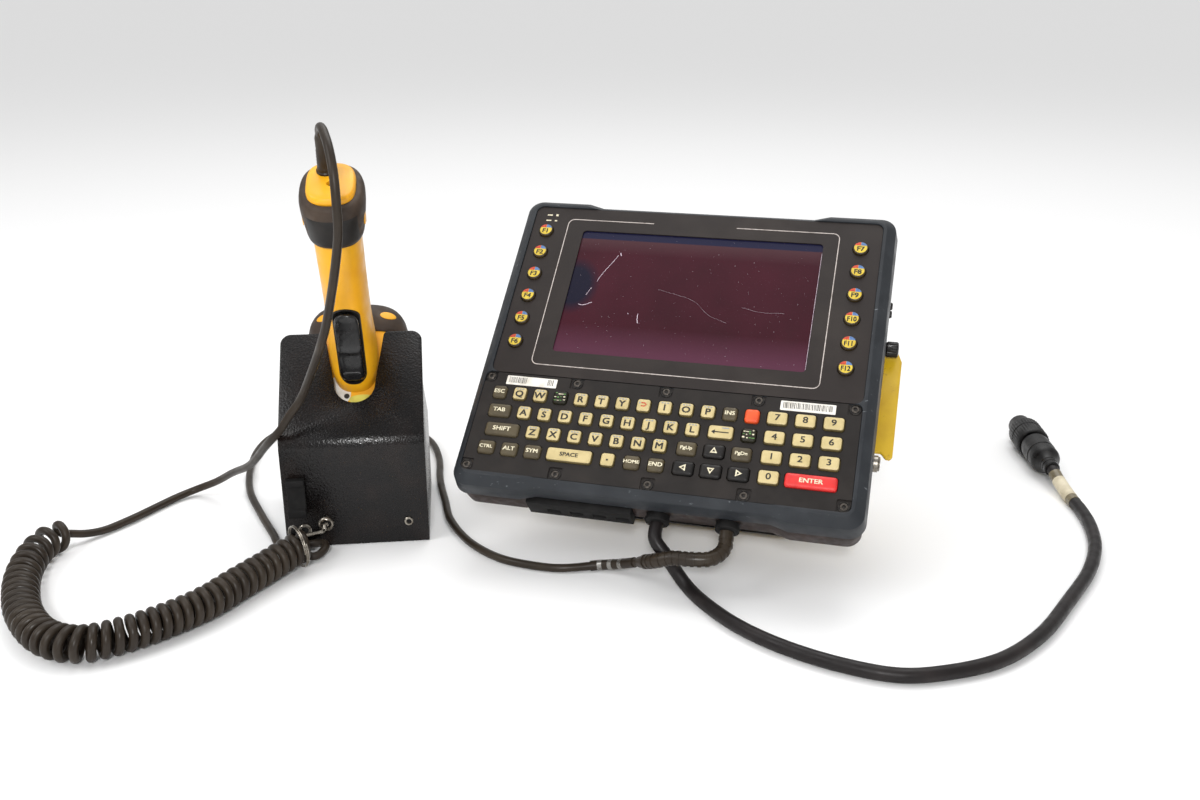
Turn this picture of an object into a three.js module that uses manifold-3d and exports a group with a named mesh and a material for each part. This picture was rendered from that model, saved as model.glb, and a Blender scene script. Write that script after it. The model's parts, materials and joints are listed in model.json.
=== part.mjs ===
// Data collector set: a tilted keyboard terminal on its stand, a hand-held scanner in a sheet-metal
// holster, the curly cord that joins them and the terminal's power cord.
// Millimetres, +Z up. The origin is the middle of the underside of the stand's foot.
import * as THREE from 'three';
import Module from 'manifold-3d';
import { mergeVertices } from 'three/addons/utils/BufferGeometryUtils.js';

const wasm = await Module();
wasm.setup();

// ---------------------------------------------------------------- driving dimensions

const GAP = 0.3; // between pieces that touch

// Terminal, in its own frame: x right, y up the face, z out of the face, zero at the display's middle.
const TERMINAL = {
  centre: [-13.2, -47.2, 149], yaw: -15.7, tilt: 41,
  halfWidth: 121.2, top: 69.5, bottom: -138.5, flare: 3, flareFrom: 69, flareTo: 79, corner: 10,
};
const FRONT = { back: -14.5, ridge: -4.5, rim: 0.8, chamfer: 5.4, wall: 4.5, inside: -3.9 };
const GASKET = { front: FRONT.back - GAP, back: -16.3, inset: 1.5 };
const REAR = { front: GASKET.back - GAP, side: -31.6, back: -34, inside: -31.2, wall: 4.5 };
const WINDOW = { width: 155, height: 93, radius: 2.5 };
const OVERLAY = { width: 224.6, low: -64.3, high: 63.7, thickness: 0.8, radius: 4.7 };
const PANEL = { middle: -1.2, width: 227, low: -132.3, high: -64.9, thickness: 2.6, radius: 4 };
const SCREWS = { first: -111.5, pitch: 55, count: 5, high: -67.8, low: -128.9, notch: 8.4, depth: 0.9 };

// Keys: height above the panel, travel room below, and the two grids they stand on.
const KEY = { pitch: 12.84, rowPitch: 12.55, firstRow: -79, width: 8.4, height: 8.6, top: 1.9, bevel: 0.8 };
const DIGIT = { first: 65.7, pitch: 16, width: 11.9 };
const KEY_CLEARANCE = 0.4;
const FUNCTION_KEY = {
  left: -102.5, right: 100.2, first: 44.2, pitch: 17.18, radius: 4.7, top: 2, low: -3.4,
};
const MAT = { width: 213, low: -125.7, high: -71.3, back: -5.2, front: -2.9 };

// Stand, in its own frame: the row's frame turned by the terminal's yaw.
const FOOT = { width: 150, depth: 122, thickness: 6, radius: 10 };
const PLATE = { left: -100, right: 131, low: -76, high: -3, front: -34.4, thickness: 3 };
const ARM = { half: 21, sheet: 4, padLow: -66, padHigh: -14 };

// Holster, in its own frame: x right, y to the back, z up, zero at the middle of its front lower edge.
const HOLSTER = {
  place: [-219.2, -87.5, 0], yaw: 7, width: 88, front: 69, slope: 75, slopeAngle: 46, sheet: 2,
  depth: 88, backGap: 8, backHeight: 55, cheekTop: 40,
};
const NOTCH = { middle: 2, bottom: 39, bottomHalf: 12.5, topHalf: 19 };

// Scanner, in the slope's frame: x right, y up the slope, z out of the slope, zero on the fold.
const SCANNER = { across: 2, barrelDepth: -32, handleAt: 60, handleSweep: 18, handleLength: 135 };

// Cords: radius of each, and the curly cord's outer radius.
const LEAD_RADIUS = 2.5;
const BOOT_RADIUS = 4;
const POWER_RADIUS = 4;
const COIL_RADIUS = 10.2;

// Routes of the cords, in the row's frame, from the scanner to the terminal and on to the connector.
const LEAD_ROUTE = [
  [-217.15, -112.7, 255.1], [-216.4, -116.6, 259.2], [-214.6, -121.6, 261.2], [-212.2, -127.4, 260.6],
  [-209.9, -133, 258], [-207.5, -138.5, 254], [-205.2, -144, 247.5], [-203.6, -148, 240],
  [-202.9, -150, 228.5], [-203.2, -149.5, 212.2],
  [-206.6, -144.5, 195.3], [-213, -135, 173], [-220.4, -124.5, 151], [-234, -105.5, 122],
  [-247.2, -92, 97.2], [-254.2, -92, 87.7], [-260.2, -93.2, 78.8], [-266.6, -89.6, 71.8],
  [-273.6, -82.5, 63.6],
  [-292.6, -56.5, 40.5], [-312.2, -34.5, 25.2], [-329.6, -19.6, 12], [-344.8, -15.3, 4.6],
  [-355, -24, 2.8], [-374, -59, 2.8], [-385, -75, 3], [-392.5, -83.5, 5], [-398.4, -89.6, 8],
  [-401.5, -93.7, 10.1],
];
const COIL_ROUTE = [
  [-402, -95, 10.4], [-406, -107, 10.4], [-406, -123, 10.4], [-403, -140, 10.4], [-398, -156, 10.4],
  [-391, -172, 10.4], [-383, -187, 10.4], [-372, -202, 10.4], [-361, -213, 10.4], [-351, -219, 10.4],
  [-342, -221.5, 10.4], [-334, -221, 10.4], [-327, -218, 10.4], [-320, -214, 10.4], [-312, -208, 10.4],
  [-305, -202, 10.4], [-297, -194, 10.4], [-290, -186, 10.4], [-283, -176, 10.4], [-277, -164, 10.4],
  [-270, -151, 10.4], [-263, -138, 10.4], [-255.5, -126, 11.4], [-249, -117.8, 12.6], [-244.9, -114.3, 12.9],
];
const TAIL_ROUTE = [
  [-244.1, -113.8, 12.9], [-240.3, -111.4, 12.2], [-237.5, -106, 9.6], [-238.5, -99.5, 6.5],
  [-244, -95.8, 4.5], [-252, -95.8, 3.2], [-262, -97, 2.8], [-269, -92, 2.8], [-274, -82, 2.8],
  [-290, -52, 2.8], [-309, -12, 2.8], [-320, 31, 2.8], [-323, 66, 2.8], [-318, 90, 2.8],
  [-300, 111, 2.8], [-270, 121, 2.8], [-237, 115, 2.8], [-212, 98, 2.8], [-196, 76, 2.8],
  [-186, 45, 2.8], [-180, 5, 2.8], [-172, -30, 2.8], [-165, -59, 2.8], [-149, -91, 2.8],
  [-129, -112, 2.8], [-110, -121, 2.8], [-92, -125, 2.8], [-67.7, -123.4, 4], [-55.9, -129.6, 8],
  [-44.7, -140.2, 14.9],
];
const BOOT_ROUTE = [
  [-44.4, -140.5, 15.1], [-36.4, -152.5, 22.1], [-27, -156.5, 26], [-16, -160, 27], [-5, -160, 27.5],
  [2.5, -154.5, 30.5], [4.35, -147.2, 36.8],
];
const POWER_ROUTE = [
  [-34.9, -136.2, 36.8], [-36, -142.5, 31], [-30, -147, 23], [-24, -147.5, 13], [-18, -152, 6],
  [-11, -165, 4.2], [6, -192, 4.2], [27, -213, 4.2], [55, -231, 4.2], [84, -241, 4.2], [110, -238, 4.2],
  [139, -227, 4.2], [168, -203, 4.2], [198, -165, 4.2], [223, -130, 4.2], [239, -98, 4.2],
  [247, -70, 4.2], [250, -47, 4.2], [250, -27, 4.6], [248.8, -11, 8], [248.1, 0.3, 11.2],
];
const CONNECTOR = { place: [248, 2, 12], yaw: -4, shell: 46, ring: 27, radius: 11.7, length: 87 };

// ---------------------------------------------------------------- shapes

const degrees = THREE.MathUtils.degToRad;

function roundedRect(width, height, radius, x = 0, y = 0, Kind = THREE.Shape) {
  const right = x + width / 2;
  const left = x - width / 2;
  const top = y + height / 2;
  const bottom = y - height / 2;
  const outline = new Kind();
  outline.absarc(right - radius, bottom + radius, radius, -Math.PI / 2, 0, false);
  outline.absarc(right - radius, top - radius, radius, 0, Math.PI / 2, false);
  outline.absarc(left + radius, top - radius, radius, Math.PI / 2, Math.PI, false);
  outline.absarc(left + radius, bottom + radius, radius, Math.PI, 1.5 * Math.PI, false);
  outline.closePath();
  return outline;
}

function circle(radius, x = 0, y = 0, Kind = THREE.Shape) {
  const outline = new Kind();
  outline.absarc(x, y, radius, 0, 2 * Math.PI, false);
  return outline;
}

function polygon(points) {
  return new THREE.Shape(points.map(([x, y]) => new THREE.Vector2(x, y)));
}

// A flat shape given thickness from z = low to z = high; arcs are cut into the given steps.
function slab(shape, low, high, steps = 3) {
  const options = { depth: high - low, bevelEnabled: false, curveSegments: steps };
  const geometry = new THREE.ExtrudeGeometry(shape, options);
  geometry.translate(0, 0, low);
  return geometry;
}

// The same with its upper and lower edges bevelled.
function bevelledSlab(shape, low, high, bevel, steps = 3) {
  const geometry = new THREE.ExtrudeGeometry(shape, {
    depth: high - low - 2 * bevel,
    bevelThickness: bevel,
    bevelSize: bevel,
    bevelOffset: -bevel,
    bevelSegments: 1,
    curveSegments: steps,
  });
  geometry.translate(0, 0, low + bevel);
  return geometry;
}

function block(xs, ys, zs) {
  const geometry = new THREE.BoxGeometry(xs[1] - xs[0], ys[1] - ys[0], zs[1] - zs[0]);
  geometry.translate((xs[0] + xs[1]) / 2, (ys[0] + ys[1]) / 2, (zs[0] + zs[1]) / 2);
  return geometry;
}

// A turned piece about the y axis; the profile runs from the axis, low to high, back to the axis.
function turned(profile, sides = 20) {
  return new THREE.LatheGeometry(profile.map(([radius, y]) => new THREE.Vector2(radius, y)), sides);
}

function rod(radius, low, high, sides = 20) {
  return turned([[0, low], [radius, low], [radius, high], [0, high]], sides);
}

// Skin over equal-length closed rings, with a flat cap at each end.
function loft(rings) {
  const count = rings[0].length;
  const positions = rings.flat().flatMap((point) => [point.x, point.y, point.z]);
  const faces = [];
  for (let level = 0; level + 1 < rings.length; level += 1) {
    for (let i = 0; i < count; i += 1) {
      const next = (i + 1) % count;
      const low = level * count;
      const high = low + count;
      faces.push(low + i, low + next, high + next, low + i, high + next, high + i);
    }
  }
  [0, rings.length - 1].forEach((level) => {
    const flat = flatten(rings[level]);
    THREE.ShapeUtils.triangulateShape(flat, []).forEach(([a, b, c]) => {
      const base = level * count;
      faces.push(...(level === 0 ? [base + a, base + c, base + b] : [base + a, base + b, base + c]));
    });
  });
  const geometry = new THREE.BufferGeometry();
  geometry.setAttribute('position', new THREE.Float32BufferAttribute(positions, 3));
  geometry.setIndex(faces);
  return geometry;
}

// A ring's points as seen along its own normal, counter-clockwise.
function flatten(ring) {
  const across = ring[1].clone().sub(ring[0]).normalize();
  const normal = new THREE.Vector3();
  ring.forEach((point, i) => normal.add(point.clone().cross(ring[(i + 1) % ring.length])));
  normal.normalize();
  const up = normal.clone().cross(across);
  return ring.map((point) => new THREE.Vector2(point.dot(across), point.dot(up)));
}

// A rounded-square ring about a centre, in the plane of two directions.
function ring(centre, across, along, halfAcross, halfAlong, power = 3, count = 20) {
  return Array.from({ length: count }, (_, i) => {
    const angle = (2 * Math.PI * (i + 0.5)) / count;
    const x = halfAcross * softened(Math.cos(angle), power);
    const y = halfAlong * softened(Math.sin(angle), power);
    return centre.clone().addScaledVector(across, x).addScaledVector(along, y);
  });
}

function softened(value, power) {
  return Math.sign(value) * Math.abs(value) ** (2 / power);
}

function tube(route, radius, sides, steps) {
  const stops = route.map((point) => new THREE.Vector3(...point));
  const curve = new THREE.CatmullRomCurve3(stops, false, 'centripetal');
  const section = new THREE.Shape();
  section.absarc(0, 0, radius, 0, 2 * Math.PI, false);
  return new THREE.ExtrudeGeometry(section, {
    steps, extrudePath: curve, curveSegments: sides / 2, bevelEnabled: false,
  });
}

// ---------------------------------------------------------------- joining and cutting

function bare(geometry) {
  const copy = geometry.clone();
  copy.deleteAttribute('normal');
  copy.deleteAttribute('uv');
  return mergeVertices(copy, 1e-4);
}

function solid(geometry) {
  const merged = bare(geometry);
  return new wasm.Manifold(new wasm.Mesh({
    numProp: 3,
    vertProperties: Float32Array.from(merged.attributes.position.array),
    triVerts: Uint32Array.from(merged.index.array),
  }));
}

function geometryOf(body) {
  const mesh = body.getMesh();
  const geometry = new THREE.BufferGeometry();
  geometry.setAttribute('position', new THREE.Float32BufferAttribute(mesh.vertProperties, 3));
  geometry.setIndex(new THREE.Uint32BufferAttribute(mesh.triVerts, 1));
  return geometry;
}

function joined(geometries) {
  return geometryOf(geometries.map(solid).reduce((sum, next) => sum.add(next)));
}

function cut(geometry, tools) {
  return geometryOf(tools.map(solid).reduce((rest, tool) => rest.subtract(tool), solid(geometry)));
}

// ---------------------------------------------------------------- materials

function material(color, roughness, metalness = 0) {
  return new THREE.MeshStandardMaterial({ color, roughness, metalness });
}

const SLATE = material(0x33363b, 0.55);
const CHARCOAL = material(0x312d2b, 0.5);
const HOUSING = material(0x2a2725, 0.6, 0.3);
const SEAL = material(0x121212, 0.8);
const SCREEN = material(0x2a1420, 0.12);
const CIRCUIT = material(0x1f4a30, 0.6);
const MODULE = material(0x8a8c90, 0.4, 0.6);
const KEY_YELLOW = material(0xd8bd4a, 0.5);
const KEY_BEIGE = material(0xb9b08a, 0.55);
const KEY_OLIVE = material(0x55503c, 0.55);
const KEY_BLACK = material(0x1a1a1a, 0.5);
const KEY_RED = material(0xc83a2c, 0.5);
const STAND_YELLOW = material(0xc9a42a, 0.5);
const BLACK_METAL = material(0x1b1a19, 0.7, 0.3);
const NICKEL = material(0xb5b3ae, 0.3, 0.9);
const SCANNER_YELLOW = material(0xe0a11f, 0.4);
const RUBBER = material(0x3c3733, 0.75);
const BLACK_PLASTIC = material(0x161616, 0.4);
const CORD = material(0x3c3832, 0.6);
const POWER_CORD = material(0x232020, 0.6);

const assembly = new THREE.Group();

function part(parent, name, geometry, finish) {
  const mesh = new THREE.Mesh(bare(geometry), finish);
  mesh.name = name;
  mesh.geometry.computeVertexNormals();
  parent.add(mesh);
  return mesh;
}

// ---------------------------------------------------------------- terminal

const stand = new THREE.Group();
stand.rotation.z = degrees(TERMINAL.yaw);
assembly.add(stand);

const terminal = new THREE.Group();
terminal.position.copy(new THREE.Vector3(...TERMINAL.centre).applyAxisAngle(
  new THREE.Vector3(0, 0, 1), -degrees(TERMINAL.yaw),
));
terminal.rotation.x = degrees(TERMINAL.tilt);
stand.add(terminal);

// The case outline, with corners that stand proud of the top and bottom edges.
function caseOutline(inset) {
  const half = TERMINAL.halfWidth - inset;
  const corner = TERMINAL.corner - inset / 2;
  const high = TERMINAL.top - inset;
  const low = TERMINAL.bottom + inset;
  const highFlare = high + TERMINAL.flare;
  const lowFlare = low - TERMINAL.flare;
  const outline = new THREE.Shape();
  outline.moveTo(-TERMINAL.flareTo, lowFlare);
  outline.lineTo(-TERMINAL.flareFrom, low);
  outline.lineTo(TERMINAL.flareFrom, low);
  outline.lineTo(TERMINAL.flareTo, lowFlare);
  outline.absarc(half - corner, lowFlare + corner, corner, -Math.PI / 2, 0, false);
  outline.absarc(half - corner, highFlare - corner, corner, 0, Math.PI / 2, false);
  outline.lineTo(TERMINAL.flareTo, highFlare);
  outline.lineTo(TERMINAL.flareFrom, high);
  outline.lineTo(-TERMINAL.flareFrom, high);
  outline.lineTo(-TERMINAL.flareTo, highFlare);
  outline.absarc(-half + corner, highFlare - corner, corner, Math.PI / 2, Math.PI, false);
  outline.absarc(-half + corner, lowFlare + corner, corner, Math.PI, 1.5 * Math.PI, false);
  return outline;
}

function caseRing(inset, z) {
  const points = caseOutline(inset).getPoints(4);
  if (points[0].distanceTo(points[points.length - 1]) < 1e-6) points.pop();
  return points.map((point) => new THREE.Vector3(point.x, point.y, z));
}

function functionKeyPlaces() {
  const places = [];
  [FUNCTION_KEY.left, FUNCTION_KEY.right].forEach((x) => {
    for (let row = 0; row < 6; row += 1) places.push([x, FUNCTION_KEY.first - row * FUNCTION_KEY.pitch]);
  });
  return places;
}

// Every key of the keyboard: its place, its width and its name.
function keyboard() {
  const rowAt = (row) => KEY.firstRow - row * KEY.rowPitch;
  const keys = [];
  const add = (name, x, row, width = KEY.width) => keys.push({ name, x, y: rowAt(row), width });
  'esc q w e r t y u i o p ins alpha'.split(' ').forEach((name, i) => add(name, -102.9 + i * KEY.pitch, 0));
  add('tab', -99.9, 1, 13.8);
  'a s d f g h j k l'.split(' ').forEach((name, i) => add(name, -84.4 + i * KEY.pitch, 1));
  add('backspace', 34.9, 1, 14.8);
  add('fn', 51.1, 1);
  add('shift', -95.2, 2, 21);
  'z x c v b n m'.split(' ').forEach((name, i) => add(name, -75.8 + i * KEY.pitch, 2));
  add('page_up', 17, 2, 11.3);
  add('up', 33, 2, 12.2);
  add('page_down', 48.7, 2, 11.3);
  'ctrl alt sym'.split(' ').forEach((name, i) => add(name, -101.9 + i * 14.4, 3, 10.2));
  add('space', -50.5, 3, 27.6);
  add('dot', -27.3, 3);
  add('home', -13, 3, 9.4);
  add('end', 1.2, 3, 9.4);
  'left down right'.split(' ').forEach((name, i) => add(name, 17.2 + i * 15.8, 3, 12.2));
  [7, 8, 9, 4, 5, 6, 1, 2, 3].forEach((digit, i) => {
    add(`digit_${digit}`, DIGIT.first + (i % 3) * DIGIT.pitch, Math.floor(i / 3), DIGIT.width);
  });
  add('digit_0', DIGIT.first, 3, DIGIT.width);
  add('enter', 89.2, 3, 29);
  return keys;
}

const LOOSE_KEYS = {
  enter: KEY_RED, space: KEY_BEIGE, shift: KEY_OLIVE,
  up: KEY_BLACK, down: KEY_BLACK, left: KEY_BLACK, right: KEY_BLACK,
};

// A key's outline with its corners cut, grown by a clearance.
function keyOutline(key, clearance, Kind = THREE.Shape) {
  const x = key.width / 2 + clearance;
  const y = KEY.height / 2 + clearance;
  const corner = 1.4;
  const outline = new Kind();
  outline.setFromPoints([
    [-x + corner, -y], [x - corner, -y], [x, -y + corner], [x, y - corner],
    [x - corner, y], [-x + corner, y], [-x, y - corner], [-x, -y + corner],
  ].map(([dx, dy]) => new THREE.Vector2(key.x + dx, key.y + dy)));
  return outline;
}

function keyBody(key, low) {
  return bevelledSlab(keyOutline(key, 0), low, KEY.top, KEY.bevel);
}

function buildTerminal() {
  const keys = keyboard();
  const midOverlay = (OVERLAY.low + OVERLAY.high) / 2;
  const midPanel = (PANEL.low + PANEL.high) / 2;
  const frontShell = loft([
    caseRing(0, FRONT.back),
    caseRing(1.2, FRONT.ridge),
    caseRing(1.2 + FRONT.chamfer, FRONT.rim),
  ]);
  const overlayPocket = roundedRect(
    OVERLAY.width + 2 * GAP, OVERLAY.high - OVERLAY.low + 2 * GAP, 5, 0, midOverlay,
  );
  const panelPocket = roundedRect(
    PANEL.width + 2 * GAP, PANEL.high - PANEL.low + 2 * GAP, PANEL.radius, PANEL.middle, midPanel,
  );
  const windowHole = roundedRect(WINDOW.width + 5, WINDOW.height + 5, 2);
  const keypadHole = roundedRect(
    MAT.width + 2 * GAP, MAT.high - MAT.low + 2 * GAP, 3.2, PANEL.middle, midPanel,
  );
  part(terminal, 'front_housing', cut(frontShell, [
    slab(overlayPocket, -OVERLAY.thickness - GAP, 3),
    slab(panelPocket, -PANEL.thickness - GAP, 3),
    slab(windowHole, -8, 3),
    slab(keypadHole, -8, 3),
    loft([caseRing(FRONT.wall, FRONT.back - 1), caseRing(FRONT.wall, FRONT.inside)]),
    ...functionKeyPlaces().map(([x, y]) => slab(circle(FUNCTION_KEY.radius + 0.5, x, y), -8, 3, 8)),
  ]), SLATE);

  const band = loft([caseRing(GASKET.inset, GASKET.back), caseRing(GASKET.inset, GASKET.front)]);
  part(terminal, 'housing_gasket', cut(band, [
    loft([caseRing(FRONT.wall, GASKET.back - 1), caseRing(FRONT.wall, GASKET.front + 1)]),
  ]), SEAL);

  const overlay = roundedRect(
    OVERLAY.width, OVERLAY.high - OVERLAY.low, OVERLAY.radius, 0, midOverlay,
  );
  overlay.holes.push(roundedRect(WINDOW.width, WINDOW.height, WINDOW.radius, 0, 0, THREE.Path));
  functionKeyPlaces().forEach(([x, y]) => {
    overlay.holes.push(circle(FUNCTION_KEY.radius + 0.4, x, y, THREE.Path));
  });
  part(terminal, 'display_overlay', slab(overlay, -OVERLAY.thickness, 0, 8), CHARCOAL);

  const glass = roundedRect(WINDOW.width + 4.4, WINDOW.height + 4.4, 1.8);
  part(terminal, 'display_window', slab(glass, -3.2, -OVERLAY.thickness - GAP), SCREEN);
  part(terminal, 'lcd_module', slab(roundedRect(170, 106, 2), -11.2, -4.2), MODULE);
  part(terminal, 'main_board', slab(roundedRect(206, 176, 3, 0, -34), -21, -19.4), CIRCUIT);
  part(terminal, 'backup_battery', bevelledSlab(roundedRect(62, 36, 3, -60, -98), -18.9, -9.2, 1.5), RUBBER);

  const panel = roundedRect(PANEL.width, PANEL.high - PANEL.low, PANEL.radius, PANEL.middle, midPanel);
  keys.forEach((key) => panel.holes.push(keyOutline(key, KEY_CLEARANCE, THREE.Path)));
  const notches = [];
  for (let i = 0; i < SCREWS.count; i += 1) {
    const x = SCREWS.first + i * SCREWS.pitch;
    [SCREWS.high, SCREWS.low].forEach((y) => {
      const notch = roundedRect(SCREWS.notch, SCREWS.notch, 1, x, y);
      notches.push(slab(notch, -SCREWS.depth, 1, 1));
    });
  }
  part(terminal, 'keyboard_panel', cut(slab(panel, -PANEL.thickness, 0, 1), notches), CHARCOAL);

  const mat = roundedRect(MAT.width, MAT.high - MAT.low, 3, PANEL.middle, midPanel);
  keys.filter((key) => key.name in LOOSE_KEYS).forEach((key) => {
    mat.holes.push(keyOutline(key, KEY_CLEARANCE, THREE.Path));
  });
  const fixedKeys = keys.filter((key) => !(key.name in LOOSE_KEYS));
  part(terminal, 'keypad_mat', joined([
    slab(mat, MAT.back, MAT.front, 1),
    ...fixedKeys.map((key) => keyBody(key, MAT.front - 1.5)),
  ]), KEY_BEIGE);
  const board = roundedRect(205, 50, 2, PANEL.middle, midPanel);
  part(terminal, 'keyboard_board', slab(board, -8.4, -6.8), CIRCUIT);
  keys.filter((key) => key.name in LOOSE_KEYS).forEach((key) => {
    part(terminal, `key_${key.name}`, keyBody(key, MAT.back + 0.2), LOOSE_KEYS[key.name]);
  });
  functionKeyPlaces().forEach(([x, y], i) => {
    const cap = bevelledSlab(circle(FUNCTION_KEY.radius), FUNCTION_KEY.low, FUNCTION_KEY.top, 0.7, 7);
    const key = part(terminal, `key_f${i + 1}`, cap, KEY_YELLOW);
    key.position.set(x, y, 0);
  });
}

// Fittings on the lower edge and the right side of the rear housing.
const SOCKETS = { depth: -24.5, radius: 6.8, power: 3, scanner: 44, low: -142, high: -128 };
const PORTS = { left: -76, right: -12, low: -141, high: -134.2, front: -18, back: -32.5 };
const KNOB = { y: -9, z: -27.5, radius: 4.8, shaft: 2.4, from: 119.6, to: 128.5 };
const ANTENNA = { y: -88, z: -26, radius: 5, shaft: 3.6, from: 120, to: 124.6 };

function alongX(geometry, y, z) {
  geometry.rotateZ(-Math.PI / 2);
  geometry.translate(0, y, z);
  return geometry;
}

function buildRear() {
  const shell = loft([
    caseRing(5, REAR.back),
    caseRing(2.5, REAR.side),
    caseRing(GASKET.inset, REAR.front),
  ]);
  const fins = [block([-80, 80], [10, 60], [-37, REAR.back + 1])];
  for (let x = -78; x <= 78; x += 12) fins.push(block([x - 1.8, x + 1.8], [11, 59], [-44, -36]));
  const hatch = bevelledSlab(roundedRect(150, 46, 4, 10, -107), -40, REAR.back + 3, 1.5);
  const cutters = [
    loft([caseRing(REAR.wall, REAR.inside), caseRing(REAR.wall, REAR.front + 1)]),
    block(
      [PORTS.left - GAP, PORTS.right + GAP],
      [PORTS.low - 3, PORTS.high + GAP],
      [PORTS.back - 3, PORTS.front + GAP],
    ),
    alongX(rod(KNOB.shaft + GAP, 108, 125, 12), KNOB.y, KNOB.z),
    alongX(rod(ANTENNA.shaft + GAP, 108, 125, 12), ANTENNA.y, ANTENNA.z),
  ];
  [SOCKETS.power, SOCKETS.scanner].forEach((x) => {
    const hole = rod(SOCKETS.radius + GAP, -145, -120, 16);
    hole.translate(x, 0, SOCKETS.depth);
    cutters.push(hole);
  });
  part(terminal, 'rear_housing', cut(joined([shell, ...fins, hatch]), cutters), HOUSING);

  const cover = block([PORTS.left, PORTS.right], [PORTS.low, PORTS.high], [PORTS.back, PORTS.front]);
  const slots = [];
  for (let i = 0; i < 4; i += 1) {
    const x = PORTS.left + 12 + i * 14;
    slots.push(block([x, x + 8], [PORTS.low - 1, PORTS.low + 1.2], [-29, -25]));
  }
  part(terminal, 'port_cover', cut(cover, slots), SEAL);

  [['power_socket', SOCKETS.power], ['scanner_socket', SOCKETS.scanner]].forEach(([name, x]) => {
    const socket = turned([
      [0, SOCKETS.low], [5.6, SOCKETS.low], [SOCKETS.radius, SOCKETS.low + 1.2],
      [SOCKETS.radius, SOCKETS.high], [0, SOCKETS.high],
    ], 16);
    socket.translate(x, 0, SOCKETS.depth);
    part(terminal, name, socket, BLACK_METAL);
  });

  part(terminal, 'antenna_socket', alongX(turned([
    [0, 112], [ANTENNA.shaft, 112], [ANTENNA.shaft, ANTENNA.from], [ANTENNA.radius, ANTENNA.from],
    [ANTENNA.radius, ANTENNA.to - 1], [3.4, ANTENNA.to], [0, ANTENNA.to],
  ], 6), ANTENNA.y, ANTENNA.z), NICKEL);
  part(terminal, 'clamp_knob', alongX(turned([
    [0, 112], [KNOB.shaft, 112], [KNOB.shaft, KNOB.from + 0.4], [3.6, KNOB.from + 0.4],
    [KNOB.radius, KNOB.from + 2], [KNOB.radius, KNOB.to - 1.2], [3.4, KNOB.to], [0, KNOB.to],
  ], 14), KNOB.y, KNOB.z), BLACK_PLASTIC);
}

// ---------------------------------------------------------------- stand

function buildStand() {
  const plate = polygon([
    [PLATE.left, PLATE.low + 4], [PLATE.left + 4, PLATE.low], [121, PLATE.low], [124, PLATE.low],
    [127, PLATE.low - 3.5], [PLATE.right - 1.5, PLATE.low - 3.8], [PLATE.right, PLATE.low - 2],
    [PLATE.right, PLATE.high - 10], [PLATE.right - 2.5, PLATE.high - 4], [PLATE.right - 8, PLATE.high],
    [PLATE.left + 4, PLATE.high], [PLATE.left, PLATE.high - 4],
  ]);
  part(terminal, 'stand_plate', slab(plate, PLATE.front - PLATE.thickness, PLATE.front), STAND_YELLOW);

  const foot = roundedRect(FOOT.width, FOOT.depth, FOOT.radius);
  part(stand, 'stand_foot', slab(foot, 0, FOOT.thickness, 5), BLACK_METAL);

  // The arm is a channel: a pad against the plate, a pad on the foot and two cheeks between them.
  const padBack = PLATE.front - PLATE.thickness - GAP - ARM.sheet;
  terminal.updateMatrix();
  const pad = block([-ARM.half, ARM.half], [ARM.padLow, ARM.padHigh], [padBack, padBack + ARM.sheet]);
  pad.applyMatrix4(terminal.matrix);
  const topFront = new THREE.Vector3(0, ARM.padLow, padBack + 2).applyMatrix4(terminal.matrix);
  const topBack = new THREE.Vector3(0, ARM.padHigh, padBack + 2).applyMatrix4(terminal.matrix);
  const floor = FOOT.thickness + GAP;
  const cheek = polygon([
    [-44, floor + 1], [46, floor + 1], [24, 52], [topBack.y, topBack.z], [topFront.y, topFront.z],
  ]);
  const cheeks = [-ARM.half, ARM.half - ARM.sheet].map((x) => {
    const geometry = slab(cheek, 0, ARM.sheet);
    geometry.rotateX(Math.PI / 2);
    geometry.rotateZ(Math.PI / 2);
    geometry.translate(x, 0, 0);
    return geometry;
  });
  part(stand, 'stand_arm', joined([
    pad, ...cheeks, block([-ARM.half, ARM.half], [-46, 48], [floor, floor + ARM.sheet]),
  ]), BLACK_METAL);
}

// ---------------------------------------------------------------- holster

const holster = new THREE.Group();
holster.position.set(...HOLSTER.place);
holster.rotation.z = degrees(HOLSTER.yaw);
assembly.add(holster);

const slope = new THREE.Group();
slope.position.z = HOLSTER.front;
slope.rotation.x = degrees(HOLSTER.slopeAngle);
holster.add(slope);

// Turns a side outline, drawn as (depth, height), into a sheet across the holster.
function sideways(outline, left, right) {
  const geometry = slab(polygon(outline), left, right);
  geometry.rotateX(Math.PI / 2);
  geometry.rotateZ(Math.PI / 2);
  return geometry;
}

function slopePoint(along, depth) {
  const angle = degrees(HOLSTER.slopeAngle);
  return [
    along * Math.cos(angle) + depth * Math.sin(angle),
    HOLSTER.front + along * Math.sin(angle) - depth * Math.cos(angle),
  ];
}

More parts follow.
